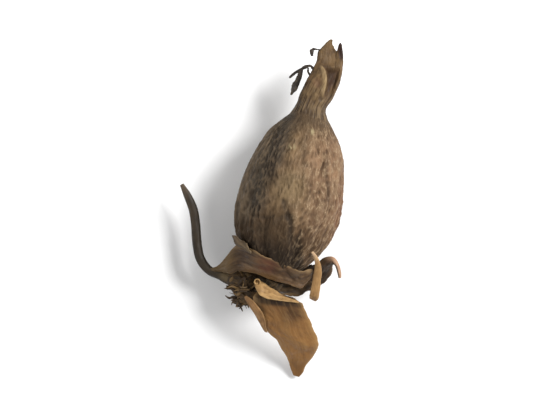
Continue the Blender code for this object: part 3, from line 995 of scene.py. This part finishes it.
leaves = {
    "collarBract": {
        "node": "collar_bract",
        "slot": "dark_bract",
        "edges": (
            (9.2, -18.9, 12.6, 9.7, -15.6, 15.8, 12),
            (8.0, -21.6, 11.8, 7.4, -16.9, 17.6, 16),
            (6.2, -21.8, 13.2, 5.2, -16.9, 19.6, 20),
            (3.6, -21.1, 15.6, 2.4, -16.3, 21.6, 22),
            (0.4, -21.1, 17.2, -0.6, -15.7, 22.8, 22),
            (-2.6, -20.8, 17.8, -3.4, -15.0, 23.3, 22),
            (-5.8, -20.4, 17.3, -6.1, -14.3, 22.9, 22),
            (-8.4, -20.2, 16.0, -8.5, -13.6, 21.8, 20),
            (-10.8, -20.5, 14.4, -10.9, -13.1, 20.0, 18),
            (-12.6, -21.4, 12.8, -12.9, -13.8, 18.0, 16),
            (-14.0, -21.3, 12.0, -14.5, -16.8, 15.4, 16),
            (-15.8, -21.3, 11.0, -16.0, -19.4, 12.5, 16),
            (-17.6, -21.6, 10.4, -17.6, -20.6, 10.9, 12),
            (-19.4, -21.6, 9.2, -19.2, -20.9, 9.5, 8),
        ),
        "crease": (-0.22, 0.35),
        "along": 280,
        "across": 80,
        "ragged": 0.05,
        "crumple": 1.3,
        "veins": 12,
        "thickness": 0.36,
        "seed": 61,
        "tones": "collar",
    },
    "tendril": {
        "node": "collar_bract",
        "slot": "dark_bract",
        "spine": (
            (-10.4, -23.5, 11.6, 0.9, 20, 40),
            (-11.8, -23.2, 11.5, 1.5, 15, 60),
            (-13.5, -22.7, 11.2, 1.6, 12, 70),
            (-15.3, -22.2, 10.8, 1.4, 10, 75),
            (-17.9, -21.8, 10.4, 1.15, 8, 80),
            (-19.9, -20.6, 10.1, 1.15, 5, 90),
            (-21.6, -18.6, 9.9, 1.15, 0, 100),
            (-22.8, -15.9, 9.7, 1.15, 0, 105),
            (-23.7, -13.0, 9.7, 1.15, 0, 105),
            (-24.6, -9.6, 9.8, 1.15, 0, 95),
            (-26.0, -5.8, 10.0, 1.15, 0, 85),
            (-28.2, -2.4, 10.2, 1.0, 0, 70),
            (-30.5, 0.5, 9.8, 0.5, 0, 50),
        ),
        "along": 270,
        "across": 36,
        "ragged": 0.05,
        "crumple": 0.6,
        "veins": 7,
        "thickness": 0.36,
        "seed": 66,
        "tones": "tendril",
    },
    "rolledCorner": {
        "node": "collar_bract",
        "slot": "dark_bract",
        "edges": (
            (-14.1, -10.7, 19.0, -13.3, -10.5, 20.0, 50),
            (-13.9, -11.9, 18.6, -12.4, -11.3, 20.6, 75),
            (-13.1, -13.1, 18.8, -11.6, -12.1, 21.1, 85),
            (-12.0, -13.6, 19.8, -10.7, -12.6, 21.8, 80),
            (-10.7, -13.9, 20.6, -9.8, -13.1, 22.3, 70),
            (-9.3, -14.2, 21.4, -8.9, -13.6, 22.5, 60),
            (-8.0, -14.5, 22.0, -7.9, -14.1, 22.6, 50),
        ),
        "along": 170,
        "across": 44,
        "ragged": 0.35,
        "crumple": 3.0,
        "veins": 6,
        "thickness": 0.3,
        "seed": 64,
        "tones": "corner",
    },
    "hangingBlade": {
        "node": "hanging_bract",
        "slot": "bract",
        "edges": (
            (-4.6, -24.8, 15.6, 6.6, -24.4, 15.6, 4),
            (-5.0, -26.3, 16.2, 8.2, -25.2, 17.0, 8),
            (-4.4, -28.2, 15.8, 9.5, -26.8, 16.0, 12),
            (-2.5, -30.2, 15.3, 10.7, -28.6, 14.9, 16),
            (-0.8, -32.0, 14.6, 12.1, -30.6, 13.7, 18),
            (-0.4, -34.2, 13.0, 13.3, -32.8, 12.2, 20),
            (1.0, -35.9, 11.4, 14.7, -34.9, 10.5, 20),
            (3.6, -37.5, 9.5, 15.5, -36.7, 8.8, 18),
            (5.4, -39.4, 7.4, 15.2, -38.2, 7.0, 16),
            (7.0, -40.8, 5.8, 14.5, -40.4, 5.2, 14),
            (8.2, -42.6, 4.0, 13.2, -42.6, 3.6, 12),
            (9.1, -44.4, 2.7, 12.7, -44.9, 2.5, 10),
            (10.2, -46.1, 1.7, 11.9, -46.3, 1.6, 8),
        ),
        "along": 240,
        "across": 100,
        "ragged": 0.02,
        "crumple": 0.9,
        "veins": 18,
        "thickness": 0.30,
        "seed": 71,
        "tones": "blade",
    },
    "hangingFold": {
        "node": "hanging_bract",
        "slot": "bract",
        "edges": (
            (-5.6, -21.6, 15.6, -5.3, -23.0, 16.4, 10),
            (-4.6, -21.2, 15.4, -4.3, -24.3, 17.4, 14),
            (-3.2, -21.5, 15.4, -3.1, -25.2, 18.1, 14),
            (-1.0, -22.5, 15.8, -1.2, -25.8, 18.5, 12),
            (1.6, -23.7, 16.4, 1.4, -25.8, 18.5, 10),
            (4.2, -24.5, 17.0, 4.0, -25.6, 18.2, 8),
            (7.6, -25.05, 17.2, 7.6, -25.4, 17.5, 5),
        ),
        "along": 190,
        "across": 50,
        "ragged": 0.07,
        "crumple": 1.4,
        "veins": 16,
        "thickness": 0.32,
        "seed": 74,
        "tones": "fold",
    },
    "hangingSliver": {
        "node": "hanging_bract",
        "slot": "bract",
        "edges": (
            (-7.0, -26.3, 14.4, -7.4, -26.9, 14.2, 10),
            (-5.3, -27.0, 15.4, -6.5, -28.2, 14.6, 18),
            (-3.2, -28.7, 16.2, -5.2, -29.6, 14.9, 22),
            (-1.8, -30.2, 16.0, -3.9, -31.0, 14.6, 22),
            (-0.7, -32.0, 15.0, -2.6, -32.5, 13.8, 20),
            (0.0, -33.9, 13.6, -1.2, -34.1, 12.8, 12),
            (0.7, -35.3, 12.0, 0.0, -35.2, 11.7, 6),
        ),
        "along": 150,
        "across": 40,
        "ragged": 0.10,
        "crumple": 0.8,
        "veins": 8,
        "thickness": 0.28,
        "seed": 77,
        "tones": "sliver",
    },
    "foldCurl": {
        "node": "hanging_bract",
        "slot": "bract",
        "spine": (
            (-4.2, -22.7, 16.2, 0.7, 70, 10),
            (-4.0, -21.9, 16.5, 0.8, 80, 10),
            (-4.5, -21.3, 16.6, 0.8, 75, 10),
            (-5.2, -21.4, 16.6, 0.8, 80, 10),
            (-5.4, -22.1, 16.4, 0.8, 75, 10),
            (-4.9, -22.4, 16.3, 0.7, 65, 10),
            (-4.6, -22.0, 16.3, 0.6, 60, 10),
        ),
        "along": 110,
        "across": 26,
        "ragged": 0.25,
        "crumple": 0.9,
        "veins": 5,
        "thickness": 0.3,
        "seed": 79,
        "tones": "fold",
    },
    "uprightBract": {
        "node": "upright_bract",
        "slot": "bract",
        "spine": (
            (11.3, -24.0, 10.4, 1.0, 0, 15),
            (11.5, -23.2, 11.8, 1.3, 3, 15),
            (11.5, -21.9, 12.9, 1.3, 5, 15),
            (11.45, -20.2, 13.8, 1.25, 8, 18),
            (11.3, -18.0, 15.0, 1.15, 8, 22),
            (11.1, -15.6, 16.6, 1.0, 5, 28),
            (10.55, -13.6, 18.4, 0.7, 0, 38),
            (9.5, -11.9, 20.4, 0.46, 0, 45),
            (8.5, -10.9, 21.8, 0.25, 0, 40),
        ),
        "along": 220,
        "across": 40,
        "ragged": 0.09,
        "crumple": 0.9,
        "veins": 8,
        "thickness": 0.32,
        "seed": 81,
        "tones": "upright",
    },
    "lowerBract": {
        "node": "lower_bract",
        "slot": "dark_bract",
        "spine": (
            (0.4, -21.7, 9.1, 1.3, 0, 15),
            (4.8, -21.0, 7.2, 2.8, -10, 20),
            (8.8, -18.9, 8.0, 3.6, -20, 20),
            (12.0, -16.2, 10.6, 3.2, -25, 25),
            (13.3, -13.4, 13.6, 1.8, -20, 40),
            (14.6, -12.2, 15.4, 0.85, 0, 60),
            (16.0, -13.2, 15.7, 0.52, 0, 70),
            (17.0, -15.1, 15.0, 0.48, 0, 65),
            (17.5, -16.6, 14.3, 0.3, 0, 60),
        ),
        "along": 240,
        "across": 60,
        "ragged": 0.12,
        "crumple": 1.4,
        "veins": 15,
        "thickness": 0.34,
        "seed": 91,
        "tones": "lower",
    },
    "footTissue": {
        "node": "stalk",
        "slot": "stalk",
        "spine": (
            (-13.2, -22.4, 10.4, 0.8, 0, 20),
            (-10.6, -22.6, 11.4, 3.5, 10, 25),
            (-6.5, -22.8, 12.6, 4.2, 15, 25),
            (-1.5, -22.4, 13.0, 3.4, 15, 20),
            (4.0, -22.2, 12.2, 2.2, 0, 20),
            (7.5, -21.4, 11.2, 1.8, -10, 20),
            (10.4, -19.4, 11.4, 0.5, -20, 20),
        ),
        "along": 240,
        "across": 60,
        "ragged": 0.3,
        "crumple": 3.4,
        "veins": 12,
        "thickness": 0.34,
        "seed": 95,
        "tones": "tissue",
    },
}


def leafFrame(values, share):  # the leaf's middle line, the vector to one side, and its bend, at each share
    if "edges" in values:
        spot = throughRows(values["edges"], share)
        return (spot[..., :3] + spot[..., 3:6]) / 2, (spot[..., 3:6] - spot[..., :3]) / 2, spot[..., 6]
    spot, _, level, upright = sidesAlong(values["spine"], share)
    roll = np.radians(spot[..., 4])[..., None]
    side = (np.cos(roll) * level + np.sin(roll) * upright) * spot[..., 3:4]
    return spot[..., :3], side, spot[..., 5]


def leafParts(values):
    # across the leaf an arc of twice the bend, along it the middle line; plus crumple, veins and ragged edges
    share, across = np.meshgrid(
        np.linspace(0, 1, values["along"]), np.linspace(-1, 1, values["across"]), indexing="ij"
    )
    middle, half, bend = leafFrame(values, share)
    width = np.linalg.norm(half, axis=-1)
    normal = unit(np.cross(half, np.gradient(middle, axis=0)))
    normal *= 1 if normal[..., 2].mean() >= 0 else -1
    length = lengthsAlong(middle)
    seed = values["seed"]
    u, v = (across * width / 24) % 1.0, (length / 60) % 1.0  # noise in real sizes, whatever the leaf's width
    side = 0.25 + 0.5 * (across > 0)
    rag = layeredNoise(v, side, (34, 2), seed) - 0.5
    tear = smoothStep(softNoise(v, side, (52, 2), seed + 5), 0.72, 1.0)
    place = across * (1 + across**4 * values["ragged"] * (2.4 * rag - 1.6 * tear))
    turn = np.radians(bend)
    opening = np.sin(np.minimum(turn, math.pi / 2))
    reach = np.sin(turn * place) / opening
    drift = 0.012 * (layeredNoise(u, v, (5, 9), seed + 1) - 0.5)
    veins = ridgeNoise(across * 0.25 + 0.5 + drift, v, (values["veins"] * 2, 5), seed + 2)
    crumple = layeredNoise(u, v, (6, 13), seed + 3) - 0.5
    fine = layeredNoise(u, v, (26, 50), seed + 4, 2) - 0.5
    lift = width * (np.cos(turn * place) - 1) / opening
    lift = lift + (values["crumple"] * crumple + 0.12 * fine) * np.clip(width, 0, 2) / 2
    lift = lift + 0.05 * (veins - 0.5)
    where, rise = values.get("crease", (0.0, 0.0))
    lift = lift + rise * bell(across, where, 0.25) * np.clip(width / 3, 0, 1)
    points = middle + half * reach[..., None] + normal * lift[..., None]
    edge = np.maximum(np.abs(across) ** 10, smoothStep(share, 0.975, 1.0))
    marks = {
        "relief": 0.5 * veins + 0.3 * (crumple + 0.5) + 0.2 * (fine + 0.5),
        "edge": edge,
        "along": share,
        "across": across,
    }
    uv = np.stack([across * width, length], -1)
    return sheetParts(points, values["thickness"] * (1 - 0.6 * edge), marks, uv)


def leafShare(tree, place, share):  # a number, nearness to a spot, or a ramp along or across the leaf
    if not isinstance(share, tuple):
        return share
    kind, *values = share
    if kind == "spot":
        return nearSpot(tree, place, *values)
    return ramp(tree, mark(tree, kind), *values)


leafShine = 0.28
leafTones = {
    # rimShare, threads and hollows: how strongly the rim, the veins and the painted shade in the crevices
    # show
    # layers: a tone, then its shares, each along or across the leaf, near a spot, or the same all over
    "collar": {
        "dark": (60, 41, 23),
        "light": (80, 56, 32),
        "patch": (48, 32, 18),
        "crevice": (33, 21, 12),
        "rim": (130, 104, 70),
        "rimShare": 0.7,
        "threads": 0.1,
        "hollows": 0.22,
        "below": (114, 83, 49),
        "rib": (122, 96, 68),
        "middle": (82, 45, 28),
        "olive": (92, 72, 42),
        "end": (46, 37, 22),
        # lip: painted highlight on the collar's lower lip
        "lip": (156, 120, 79),
        "flap": (130, 106, 76),
        "layers": (
            ("below", ("across", -0.12, -0.4), ("along", 0.62, 0.5), 0.75),
            ("rib", ("across", -0.42, -0.26), ("across", -0.08, -0.24), ("along", 0.62, 0.5), 0.5),
            ("middle", ("spot", (-3.2, -17.0, 22.0), 2.4), 0.7),
            ("olive", ("along", 0.6, 0.76, 0.0, 0.8)),
            ("end", ("along", 0.84, 0.98, 0.0, 0.9)),
            # painted highlight on the collar's lower lip
            ("lip", ("spot", (5.4, -20.9, 13.6), 1.4), 0.85),
            ("flap", ("spot", (8.9, -16.0, 16.4), 0.9), 0.8),
        ),
    },
    "tendril": {
        "dark": (27, 21, 13),
        "light": (42, 33, 20),
        "patch": (36, 27, 17),
        "crevice": (20, 16, 11),
        "rim": (72, 60, 41),
        "rimShare": 0.4,
        "threads": 0.2,
        "start": (92, 76, 50),
        "ridge": (70, 57, 41),
        "tip": (92, 76, 60),
        "layers": (
            ("start", ("along", 0.3, 0.2, 0.0, 0.8), ("across", -0.9, 0.0)),
            ("ridge", ("across", 0.1, -0.4), ("along", 0.6, 0.8, 0.0, 0.6)),
            ("tip", ("along", 0.88, 1.0, 0.0, 0.7)),
        ),
    },
    "corner": {
        "dark": (70, 56, 38),
        "light": (108, 90, 62),
        "patch": (60, 46, 33),
        "crevice": (32, 24, 17),
        "rim": (138, 118, 90),
        "rimShare": 0.7,
        "threads": 0.2,
    },
    "blade": {
        "dark": (122, 85, 44),
        "light": (129, 92, 49),
        "patch": (116, 80, 42),
        "crevice": (88, 59, 30),
        "rim": (150, 118, 74),
        "rimShare": 0.8,
        "threads": 0.05,
        "hollows": 0.16,
        # under and fold: painted shade and a painted shadow line on the blade below the hanging fold
        "under": (92, 62, 31),
        "fold": (38, 25, 13),
        "stain": (66, 43, 20),
        "left": (138, 97, 50),
        "corner": (46, 32, 20),
        "tail": (96, 64, 31),
        "layers": (
            # painted shade below the hanging fold, then its painted shadow line
            ("under", ("along", 0.38, 0.16, 0.0, 0.8)),
            ("fold", ("along", 0.18, 0.13, 0.0, 0.92)),
            ("stain", ("spot", (6.6, -29.0, 15.6), 2.4), 0.85),
            ("left", ("across", 0.1, -0.9), ("along", 0.2, 0.5, 0.0, 0.45)),
            ("corner", ("across", -0.6, -0.85, 0.0, 0.8), ("along", 0.3, 0.22)),
            ("tail", ("along", 0.74, 0.9, 0.0, 0.6)),
        ),
    },
    "sliver": {
        "dark": (132, 97, 59),
        "light": (158, 120, 76),
        "patch": (108, 77, 44),
        "crevice": (64, 44, 28),
        "rim": (144, 114, 78),
        "rimShare": 0.5,
        "threads": 0.15,
    },
    "fold": {
        "dark": (146, 113, 70),
        "light": (184, 147, 97),
        "patch": (84, 59, 34),
        "crevice": (62, 42, 24),
        "rim": (178, 146, 96),
        "rimShare": 0.5,
        "threads": 0.2,
    },
    "upright": {
        "dark": (156, 117, 71),
        "light": (186, 146, 94),
        "patch": (132, 96, 57),
        "crevice": (72, 51, 30),
        "rim": (186, 155, 112),
        "rimShare": 0.6,
        "threads": 0.15,
        "hollows": 0.3,
        "tip": (178, 150, 122),
        "layers": (("tip", ("along", 0.72, 0.95, 0.0, 0.85)),),
    },
    "lower": {
        "dark": (44, 31, 19),
        "light": (70, 51, 31),
        "patch": (58, 39, 23),
        "crevice": (26, 17, 11),
        "rim": (118, 92, 64),
        "rimShare": 0.4,
        "threads": 0.2,
        "curl": (178, 142, 114),
        "layers": (("curl", ("along", 0.50, 0.62, 0.0, 0.9), ("across", 0.7, -0.1)),),
    },
    "foot": {
        "dark": (46, 33, 17),
        "light": (78, 57, 31),
        "patch": (58, 40, 21),
        "crevice": (22, 15, 8),
        "rim": (108, 84, 49),
        "rimShare": 0.5,
        "threads": 0.3,
        "pale": (116, 91, 55),
        "layers": (("pale", ("along", 0.3, 1.0, 0.0, 0.85)),),
    },
    "tissue": {
        "dark": (40, 29, 15),
        "light": (92, 69, 39),
        "patch": (42, 29, 16),
        "crevice": (18, 12, 7),
        "rim": (94, 73, 44),
        "rimShare": 0.5,
        "threads": 0.3,
    },
}


def makeLeafMaterial(name, tones):
    # streaks and veins along the leaf, mottled, with crests lighter as wear and painted highlight, crevices
    # darkened as painted shade, a pale rim and stains
    material, tree, shader = newMaterial(name)
    flow = put(tree, "ShaderNodeUVMap", uv_map="flow").outputs[0]
    place = millimetres(tree)
    fibres = useGroup(tree, streakGroup, {"Vector": flow, "Per mm": 0.7, "Stretch": 4.0})
    threads = useGroup(tree, streakGroup, {"Vector": flow, "Per mm": 2.0, "Stretch": 8.0})
    mottle = useGroup(tree, patchGroup, {"Vector": place, "Per mm": 0.8, "Level": 0.52, "Softness": 0.12})
    patch = useGroup(tree, patchGroup, {"Vector": place, "Per mm": 0.18, "Level": 0.52, "Softness": 0.12})
    creviceShadeAndCrest = useGroup(
        tree, reliefGroup, {"Relief": mark(tree, "relief"), "Crevice": 0.34, "Crest": 0.66, "Softness": 0.15}
    )
    layers = [("patch", patch["Mask"], 0.5), ("patch", mottle["Mask"], 0.4)]
    for tone, *shares in tones.get("layers", ()):
        layers.append((tone, *[leafShare(tree, place, share) for share in shares]))
    layers += [
        ("crevice", threads["Thread"], tones["threads"]),
        # painted shade in the crevices; the crests a little lighter, partly wear, partly painted highlight
        ("crevice", creviceShadeAndCrest["Crevice"], tones.get("hollows", 0.4)),
        ("rim", creviceShadeAndCrest["Crest"], 0.18),
        ("rim", mark(tree, "edge"), tones["rimShare"]),
    ]
    colour = layTones(tree, fibres["Streak"], tones, layers)
    rough = ramp(tree, threads["Streak"], 0.0, 1.0, 0.5, 0.7)
    finish(tree, shader, (colour, rough), (threads["Thread"], 0.3, 0.08), leafShine)
    return material


leafMaterials = {name: makeLeafMaterial(name + "Tissue", tones) for name, tones in leafTones.items()}
for name, values in leaves.items():
    piece = makePiece(name, [leafParts(values)])
    dress(piece, values["node"], leafMaterials[values["tones"]])
print("bracts:", len(leaves))


# The foot: a short stalk broken off in fibres, with small dark shreds round it

stalk = {
    "path": (  # x, y, z, radius
        (0.0, -20.9, 12.5, 2.4),
        (-0.2, -22.0, 12.4, 2.2),
        (-1.6, -23.4, 12.3, 1.7),
        (-4.3, -25.1, 11.8, 1.6),
        (-7.2, -26.8, 11.0, 1.8),
        (-8.2, -27.3, 10.8, 1.2),
    ),
    "along": 90,
    "around": 96,
    "fibres": 40,
    "fibreRings": 14,
    "fibreSides": 6,
    "shreds": 110,
    "spread": (-8.4, -24.6, 3.7, 4.6),  # middle and reach of the tuft, across and along
    "heap": (14.4, 3.6),  # the tuft's height at its middle, and how much lower it is at its edge
    "seed": 101,
    "tones": {
        "dark": (34, 25, 14),
        "light": (64, 49, 29),
        "crest": (94, 75, 47),
        "crevice": (19, 13, 8),
    },
}


def stalkParts():  # a round ring carried along the path, ribbed lengthwise and roughened
    share, turn = tubeGrid(stalk["along"], stalk["around"])
    spot, _, level, upright = sidesAlong(stalk["path"], share)
    ribs = ridgeNoise(turn + 0.03 * np.sin(6 * share), share, (22, 3), stalk["seed"])
    rough = layeredNoise(turn, share, (14, 12), stalk["seed"] + 1)
    radius = spot[..., 3] + 0.35 * (ribs - 0.5) + 0.4 * (rough - 0.5)
    ring = level * np.cos(2 * math.pi * turn)[..., None] + upright * np.sin(2 * math.pi * turn)[..., None]
    uv = np.stack([turn * 10, lengthsAlong(spot[..., :3])], -1)
    return tubeParts(spot[..., :3] + ring * radius[..., None], {"relief": 0.6 * ribs + 0.4 * rough}, uv)


def fibreParts():  # start + aim x length x t, bowed as t squared; a small ring that narrows to the tip
    random = np.random.default_rng(stalk["seed"] + 10)
    count, rings, sides = stalk["fibres"], stalk["fibreRings"], stalk["fibreSides"]
    base = throughRows(stalk["path"], random.uniform(0.35, 1.0, count))
    heading = np.radians(random.normal(225, 40, count))
    rise = np.radians(random.normal(0, 22, count))
    aim = np.stack([np.cos(heading) * np.cos(rise), np.sin(heading) * np.cos(rise), np.sin(rise)], -1)
    start = base[:, :3] + aim * base[:, 3:4] * 0.5 + random.normal(0, 0.5, (count, 3))
    length = random.uniform(0.7, 1.7, count)
    bow = random.normal(0, 0.8, (count, 3))
    radius = random.uniform(0.10, 0.22, count)
    t = np.linspace(0, 1, rings)[None, :, None]
    centre = start[:, None] + (aim * length[:, None])[:, None] * t + bow[:, None] * t**2
    centre[..., 2] = np.maximum(centre[..., 2], 0.4)
    forward = unit(np.gradient(centre, axis=1))
    side = unit(np.cross(forward, np.array([0.0, 0.0, 1.0])))
    over = np.cross(side, forward)
    turn = 2 * math.pi * np.arange(sides) / sides
    size = (radius[:, None] * (1 - 0.6 * t[0, :, 0] ** 2))[:, :, None, None]
    ring = side[:, :, None] * np.cos(turn)[:, None] + over[:, :, None] * np.sin(turn)[:, None]
    flat = (centre[:, :, None] + ring * size).reshape(-1, 3)
    offset = (np.arange(count) * rings * sides)[:, None, None]
    caps = np.stack([np.arange(sides)[::-1], np.arange(sides) + (rings - 1) * sides])
    wall = (gridQuads(rings, sides, True)[None] + offset).reshape(-1, 4)
    faceSets = outward(flat, [wall, (caps[None] + offset).reshape(-1, sides)])
    shade = np.repeat(random.random(count), rings * sides)
    uv = np.stack([shade * 40, np.tile(np.repeat(np.linspace(0, 3, rings), sides), count)], -1)
    return flat, faceSets, {"relief": shade}, uv


def footShredParts():  # small crumpled leaves heaped round the broken end at seeded places and angles
    random = np.random.default_rng(stalk["seed"] + 20)
    x, y, wide, long = stalk["spread"]
    top, drop = stalk["heap"]
    parts = []
    for n in range(stalk["shreds"]):
        away = math.sqrt(random.random())
        turn = random.uniform(0, 2 * math.pi)
        reach = (wide * away * math.cos(turn), long * away * math.sin(turn))
        base = np.array([x + reach[0], y + reach[1], top - drop * away])
        heading = random.normal(3.9, 1.1)
        aim = np.array([math.cos(heading), math.sin(heading), random.normal(-0.1, 0.35)])
        side = np.array([-aim[1], aim[0], random.normal(0, 0.6)])
        narrow = n % 4 > 0  # three in four are fibrous strips
        length = random.uniform(2.0, 4.4) if narrow else random.uniform(1.6, 3.4)
        width = random.uniform(0.14, 0.34) if narrow else random.uniform(0.5, 1.1)
        start = base - 0.5 * length * aim + random.normal(0, 0.4, 3) * (0, 0, 1)
        rows = []
        for t, w, bend in ((0.0, 0.5, 40), (0.35, 1.0, 55), (0.7, 0.8, 70), (1.0, 0.2, 60)):
            spot = start + aim * length * t + side * random.normal(0, 0.4) * t
            rows.append((*spot, width * w, random.normal(0, 35), bend))
        values = {
            "spine": tuple(rows),
            "along": 22,
            "across": 8 if narrow else 14,
            "ragged": 0.3,
            "crumple": 2.2,
            "veins": 5,
            "thickness": 0.24,
            "seed": stalk["seed"] + 30 + 7 * n,
        }
        parts.append(leafParts(values))
        parts[-1][2]["along"][:] = random.random() ** 1.5  # one shade for each
    return parts


stalkMaterial = makeFibreMaterial("stalkFibre", stalk["tones"])
dress(makePiece("stalkStub", [stalkParts()]), "stalk", stalkMaterial)
dress(makePiece("stalkFibres", [fibreParts()]), "stalk", stalkMaterial)
dress(makePiece("footShreds", footShredParts()), "stalk", leafMaterials["foot"])
print("foot: stalk, fibres and shreds")


# Camera, light and floor

view = {
    "roll": 11.0,  # degrees: the beak leans right in the picture
    "distance": 0.95,  # metres from the floor up to the camera
    "frame": (533, 400),
    "margin": 1.09,
    "floorReach": 3.0,  # metres from the floor's middle to each side
    "floorTone": 0.86,
    "sky": 0.5,  # strength of the white light from all round
    "aim": (0.0, 0.0, 0.012),  # the point that the lights face
    "lights": (  # name, place, size and power
        ("key", (0.55, 0.42, 0.70), 0.40, 14.0),
        ("fill", (-0.70, -0.20, 0.70), 0.9, 3.0),
    ),
}


def makeCamera():  # looks straight down; the lens fits the object's height in the picture into the frame
    low, high = [np.array(corner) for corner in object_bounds()]
    centre = (low + high) / 2
    roll = math.radians(view["roll"])
    tall = (high[1] - low[1]) * math.cos(roll) + (high[0] - low[0]) * math.sin(roll)
    data = bpy.data.cameras.new("camera")
    wide = tall * view["margin"] * view["frame"][0] / view["frame"][1]
    data.lens = data.sensor_width * (view["distance"] - high[2] / 2) / wide
    camera = bpy.data.objects.new("camera", data)
    camera.location = (centre[0], centre[1], view["distance"])
    camera.rotation_euler = Euler((0, 0, roll))
    bpy.context.scene.collection.objects.link(camera)
    bpy.context.scene.camera = camera


def makeFloor():  # one wide pale square at the height that the pod rests on
    far, tone = view["floorReach"], view["floorTone"]
    mesh = bpy.data.meshes.new("floor")
    mesh.from_pydata([(-far, -far, 0), (far, -far, 0), (far, far, 0), (-far, far, 0)], [], [(0, 1, 2, 3)])
    floor = bpy.data.objects.new("floor", mesh)
    material, _, shader = newMaterial("paleFloor")
    shader.inputs["Base Color"].default_value = (tone, tone, tone, 1)
    shader.inputs["Roughness"].default_value = 0.9
    shader.inputs["Specular IOR Level"].default_value = 0.1
    mesh.materials.append(material)
    bpy.context.scene.collection.objects.link(floor)


def makeLight(name, place, size, power):  # a soft square light aimed at the pod
    data = bpy.data.lights.new(name, "AREA")
    data.size = size
    data.energy = power
    light = bpy.data.objects.new(name, data)
    light.location = place
    aim = Vector(view["aim"]) - Vector(place)
    light.rotation_euler = aim.to_track_quat("-Z", "Y").to_euler()
    bpy.context.scene.collection.objects.link(light)


def makeStudio():  # the lights and an even white sky
    for light in view["lights"]:
        makeLight(*light)
    world = bpy.data.worlds.new("studio")
    world.use_nodes = True
    world.node_tree.nodes["Background"].inputs["Color"].default_value = (1, 1, 1, 1)
    world.node_tree.nodes["Background"].inputs["Strength"].default_value = view["sky"]
    bpy.context.scene.world = world
    bpy.context.scene.view_settings.view_transform = "Standard"


makeCamera()
makeFloor()
makeStudio()
print("camera, floor and light")
